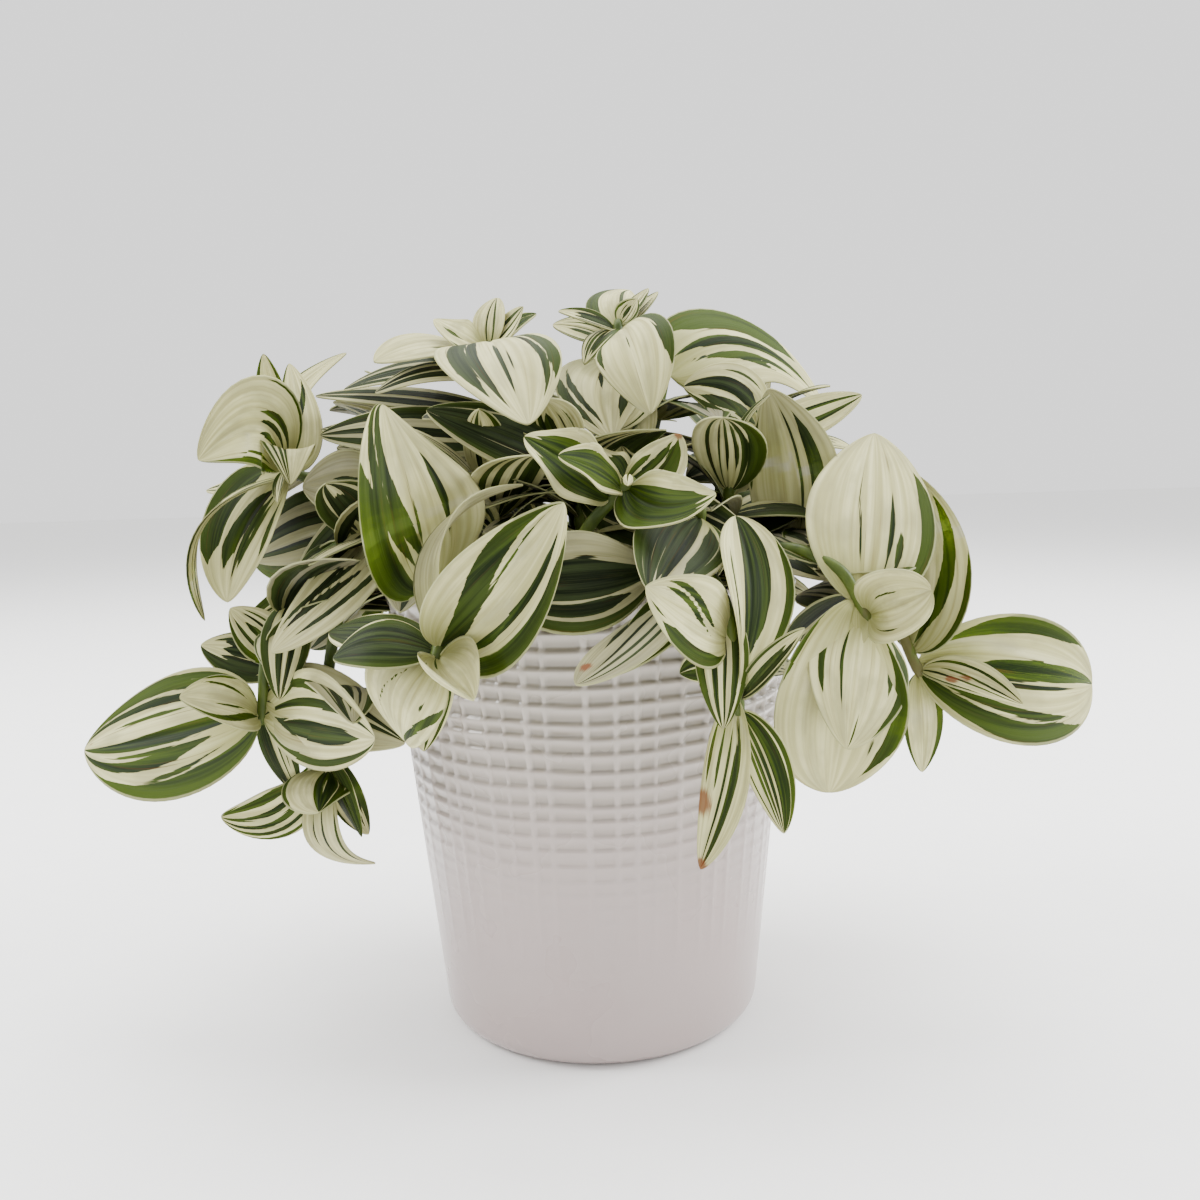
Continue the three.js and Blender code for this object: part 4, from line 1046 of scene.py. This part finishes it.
def leaf_finish():
    """Cream and green, with a sharp edge between them, a fine grain along the blade and a pale thin rim.

    The green turns from olive to ashen as the greyness rises to 1, and from 0.8 up to 1.5 the cream is
    darkened with painted shade as well. Towards the root the blade is greener and darker, partly its own
    colour and partly painted shade.
    """
    leaf = Finish("variegated_leaf")
    band, wither, greyness_and_shade, drift = (leaf.node("Attribute", {"attribute_name": name}, output=FACTOR_OUTPUT)
                                 for name in BLADE_LAYERS)
    uv = leaf.node("UVMap", {"uv_map": "blade"})
    across = leaf.node("SeparateXYZ", {}, {"Vector": uv})
    along = leaf.node("SeparateXYZ", {}, {"Vector": uv}, Y_OUTPUT)
    spot = leaf.node("CombineXYZ", {}, {"X": across, "Y": along, "Z": drift})
    grain = leaf.noise(spot, 1, 3, (46, 1.6, 1))
    fine = leaf.noise(spot, 1, 2, (150, 3, 1))
    streak = leaf.noise(spot, 1, 2, (17, 0.9, 1))
    edge = (2 * across - 1).size()

    olive = leaf.mix(streak.ramp(0.35, 0.65), (0.005, 0.013, 0.0005, 1), (0.038, 0.066, 0.0005, 1))
    ashen = leaf.mix(streak.ramp(0.35, 0.65), (0.004, 0.007, 0.002, 1), (0.022, 0.032, 0.011, 1))
    green = leaf.mix(greyness_and_shade, olive, ashen)
    green = leaf.mix(edge.ramp(0.5, 1.0) * 0.5, green, (0.036, 0.060, 0.001, 1))
    green = leaf.mix(fine.ramp(0.4, 0.8) * 0.2, green, (0.06, 0.085, 0.025, 1))
    cream = leaf.mix(streak.ramp(0.3, 0.7), (0.40, 0.38, 0.175, 1), (0.61, 0.59, 0.31, 1))
    mottle = leaf.noise(spot, 1, 3, (5, 3.5, 1))
    cream = leaf.mix(mottle.ramp(0.42, 0.68) * 0.5, cream, (0.26, 0.25, 0.13, 1))
    # Painted shade: a greyness from 0.8 upwards darkens the cream, for the leaves that lie in shade.
    painted_shade_cream = leaf.mix(streak.ramp(0.3, 0.7), (0.12, 0.113, 0.072, 1), (0.19, 0.18, 0.118, 1))
    cream = leaf.mix(greyness_and_shade.ramp(0.8, 1.5), cream, painted_shade_cream)
    cream = leaf.mix(grain.ramp(0.4, 0.75) * 0.22, cream, (0.28, 0.275, 0.10, 1))
    cream = leaf.mix(fine.ramp(0.45, 0.8) * 0.14, cream, (0.26, 0.25, 0.13, 1))
    # The blade's lower half turns greener and darker towards the root: partly the leaf's own greener base,
    # partly painted shade where the leaves clasp the stem.
    cream = leaf.mix(0.6 - along.ramp(0.0, 0.45) * 0.6, cream, (0.15, 0.16, 0.03, 1))
    lines = grain.ramp(0.66, 0.7) * band.ramp(-0.16, -0.02) * 0.6
    colour = leaf.mix(lines, cream, (0.07, 0.09, 0.025, 1))
    ragged = band + 0.06 * (grain - 0.5) + 0.02 * (fine - 0.5)
    colour = leaf.mix(ragged.ramp(-0.006, 0.006), colour, green)
    colour = leaf.mix(edge.ramp(0.965, 0.985) * 0.65, colour, (0.34, 0.34, 0.17, 1))
    dry = (wither + 0.8 * (grain - 0.5)).ramp(0.05, 0.5)
    leaf.surface(
        Base_Color=leaf.mix(dry * 0.85, colour, (0.16, 0.045, 0.018, 1)),
        Roughness=0.42 + 0.2 * grain + 0.3 * dry, IOR=1.42, Specular_IOR_Level=0.1,
        Subsurface_Weight=0.06, Subsurface_Radius=(0.9, 1.0, 0.35), Subsurface_Scale=0.5 * MM,
        Normal=leaf.bump(fine * 0.5 + grain * 0.5, 0.1 * MM))
    return leaf.material


def stem_finish():
    """Olive green with paler clouds, and a few brown flecks."""
    stem = Finish("fleshy_stem")
    place = stem.place()
    cloud = stem.noise(place, 150, 3, (1, 1, 0.35))
    colour = stem.mix(cloud.ramp(0.35, 0.65), (0.030, 0.050, 0.004, 1), (0.075, 0.105, 0.012, 1))
    stem.surface(
        Base_Color=stem.mix(cloud.ramp(0.62, 0.75) * 0.5, colour, (0.10, 0.055, 0.03, 1)),
        Roughness=0.38 + 0.2 * cloud, Subsurface_Weight=0.15, Subsurface_Radius=(0.8, 1.0, 0.3),
        Subsurface_Scale=1.5 * MM, Specular_IOR_Level=0.25, Normal=stem.bump(cloud, 0.12 * MM))
    return stem.material


def grow(node, stem, rows, materials, seed):
    """Models one shoot: its stem, each leaf that its CAD node holds, and its older leaves."""
    points = [Vector(point) for point in stem]
    corners = stem_corners(points)
    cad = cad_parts[node].data
    tree = KDTree(len(cad.vertices))
    for vert in cad.vertices:
        tree.insert(vert.co / MM, vert.index)
    tree.balance()
    mesh = bmesh.new()
    for name in BLADE_LAYERS:
        mesh.verts.layers.float.new(name)
    mesh.loops.layers.uv.new("blade")
    chance = random.Random(seed)
    for index, row in enumerate(rows):
        drift = chance.uniform(0, 100)
        look = chance.uniform(0.3, 0.9), chance_bands(chance)
        leaf = leaf_on_node(row, points, corners, tree)
        if leaf:
            greyness_and_shade, bands = STRIPES.get(node, {}).get(index, look)
            cells = SHOWN_CELLS if node in STRIPES else SMALL_CELLS
            add_blade(mesh, leaf, bands, SPECKS.get((node, index), ()), drift, greyness_and_shade, cells)
    for row, greyness_and_shade, bands in OLDER_LEAVES.get(node, ()):
        add_blade(mesh, Leaf(row, points, corners), bands, (), chance.uniform(0, 100), greyness_and_shade, SMALL_CELLS)
    # The inner leaves get a greyness of 0.9 to 1.5, which darkens their cream with painted shade.
    for row in inner_rows(*INNER_LEAVES.get(node, (0, 0, 0)), chance):
        bands, drift, greyness_and_shade = chance_bands(chance), chance.uniform(0, 100), chance.uniform(0.9, 1.5)
        add_blade(mesh, Leaf(row, points, corners), bands, (), drift, greyness_and_shade, INNER_CELLS)
    steps = STEM_STEPS * (len(points) - 1)
    path = [stem_point(points, step / steps) for step in range(steps + 1)] + [stem_path(points)[-1]]
    foot = Vector((*points[0].xy, SOIL_CROWN - STEM_FOOT_DEPTH))
    path = [foot, foot.lerp(points[0], 0.6), *path]
    radii = [STEM_RADIUS * (1 - STEM_TAPER * k / len(path)) for k in range(len(path) - 1)]
    add_tube(mesh, path, [*radii, STEM_END_RADIUS])
    finish_piece(node + "_foliage", mesh, materials, node)


shoot_materials = [leaf_finish(), stem_finish()]
for number, (node, (stem, rows)) in enumerate(SHOOTS.items()):
    grow(node, stem, rows, shoot_materials, SHOOT_SEED + number)
for number, (node, (count, stem)) in enumerate(PLAIN_SHOOTS.items()):
    rows = plain_rows([Vector(point) for point in stem], count, PLAIN_SEED + PLAIN_SEED_STEP * number)
    grow(node, stem, rows, shoot_materials, PLAIN_SHOOT_SEED + number)

# ---- the studio ----
# A pale floor, broad soft lights, and the camera at the photograph's angle: close in front, a little
# above the rim and tilted down.

FLOOR_SIZE = 12
CAMERA_PLACE = (0, -380.7 * MM, 185.6 * MM)
CAMERA_TILT = 6.56
CAMERA_TURN = 0.49
CAMERA_ROLL = -1.71
CAMERA_LENS = 33.22
CAMERA_SENSOR = 36
LIGHT_AIM = Vector((0, 0, 0.15))

floor_mesh = bmesh.new()
bmesh.ops.create_grid(floor_mesh, x_segments=8, y_segments=8, size=FLOOR_SIZE / 2)
floor_data = bpy.data.meshes.new("floor")
floor_mesh.to_mesh(floor_data)
floor_mesh.free()
floor = bpy.data.objects.new("floor", floor_data)
bpy.context.scene.collection.objects.link(floor)
paper = Finish("pale_floor")
paper_grain = paper.noise(paper.place(), 60, 4)
paper_colour = paper.mix(paper_grain, (0.90, 0.90, 0.89, 1), (0.93, 0.93, 0.92, 1))
paper.surface(Base_Color=paper_colour, Roughness=0.7 + 0.1 * paper_grain)
floor_data.materials.append(paper.material)

world = bpy.data.worlds.new("studio")
world.use_nodes = True
world.node_tree.nodes["Background"].inputs["Color"].default_value = (1, 1, 1, 1)
world.node_tree.nodes["Background"].inputs["Strength"].default_value = 1.5
bpy.context.scene.world = world


def softbox(name, place, size, watts):
    """A square light that faces the middle of the plant."""
    light = bpy.data.lights.new(name, "AREA")
    light.size = size
    light.energy = watts
    lamp = bpy.data.objects.new(name, light)
    lamp.location = place
    lamp.rotation_euler = (LIGHT_AIM - Vector(place)).to_track_quat("-Z", "Y").to_euler()
    bpy.context.scene.collection.objects.link(lamp)


softbox("left", (-1.3, 0.1, 1.1), 0.9, 34)
softbox("right", (1.3, 0.1, 0.9), 0.9, 34)
softbox("above", (0.1, 0.4, 1.7), 1.3, 44)

lens = bpy.data.cameras.new("camera")
lens.lens = CAMERA_LENS
lens.sensor_width = CAMERA_SENSOR
camera = bpy.data.objects.new("camera", lens)
turned = Matrix.Rotation(math.radians(-CAMERA_TURN), 4, "Z")
tilted = Matrix.Rotation(math.radians(90 - CAMERA_TILT), 4, "X")
rolled = Matrix.Rotation(math.radians(CAMERA_ROLL), 4, "Z")
camera.matrix_world = Matrix.Translation(CAMERA_PLACE) @ turned @ tilted @ rolled
bpy.context.scene.collection.objects.link(camera)
bpy.context.scene.camera = camera
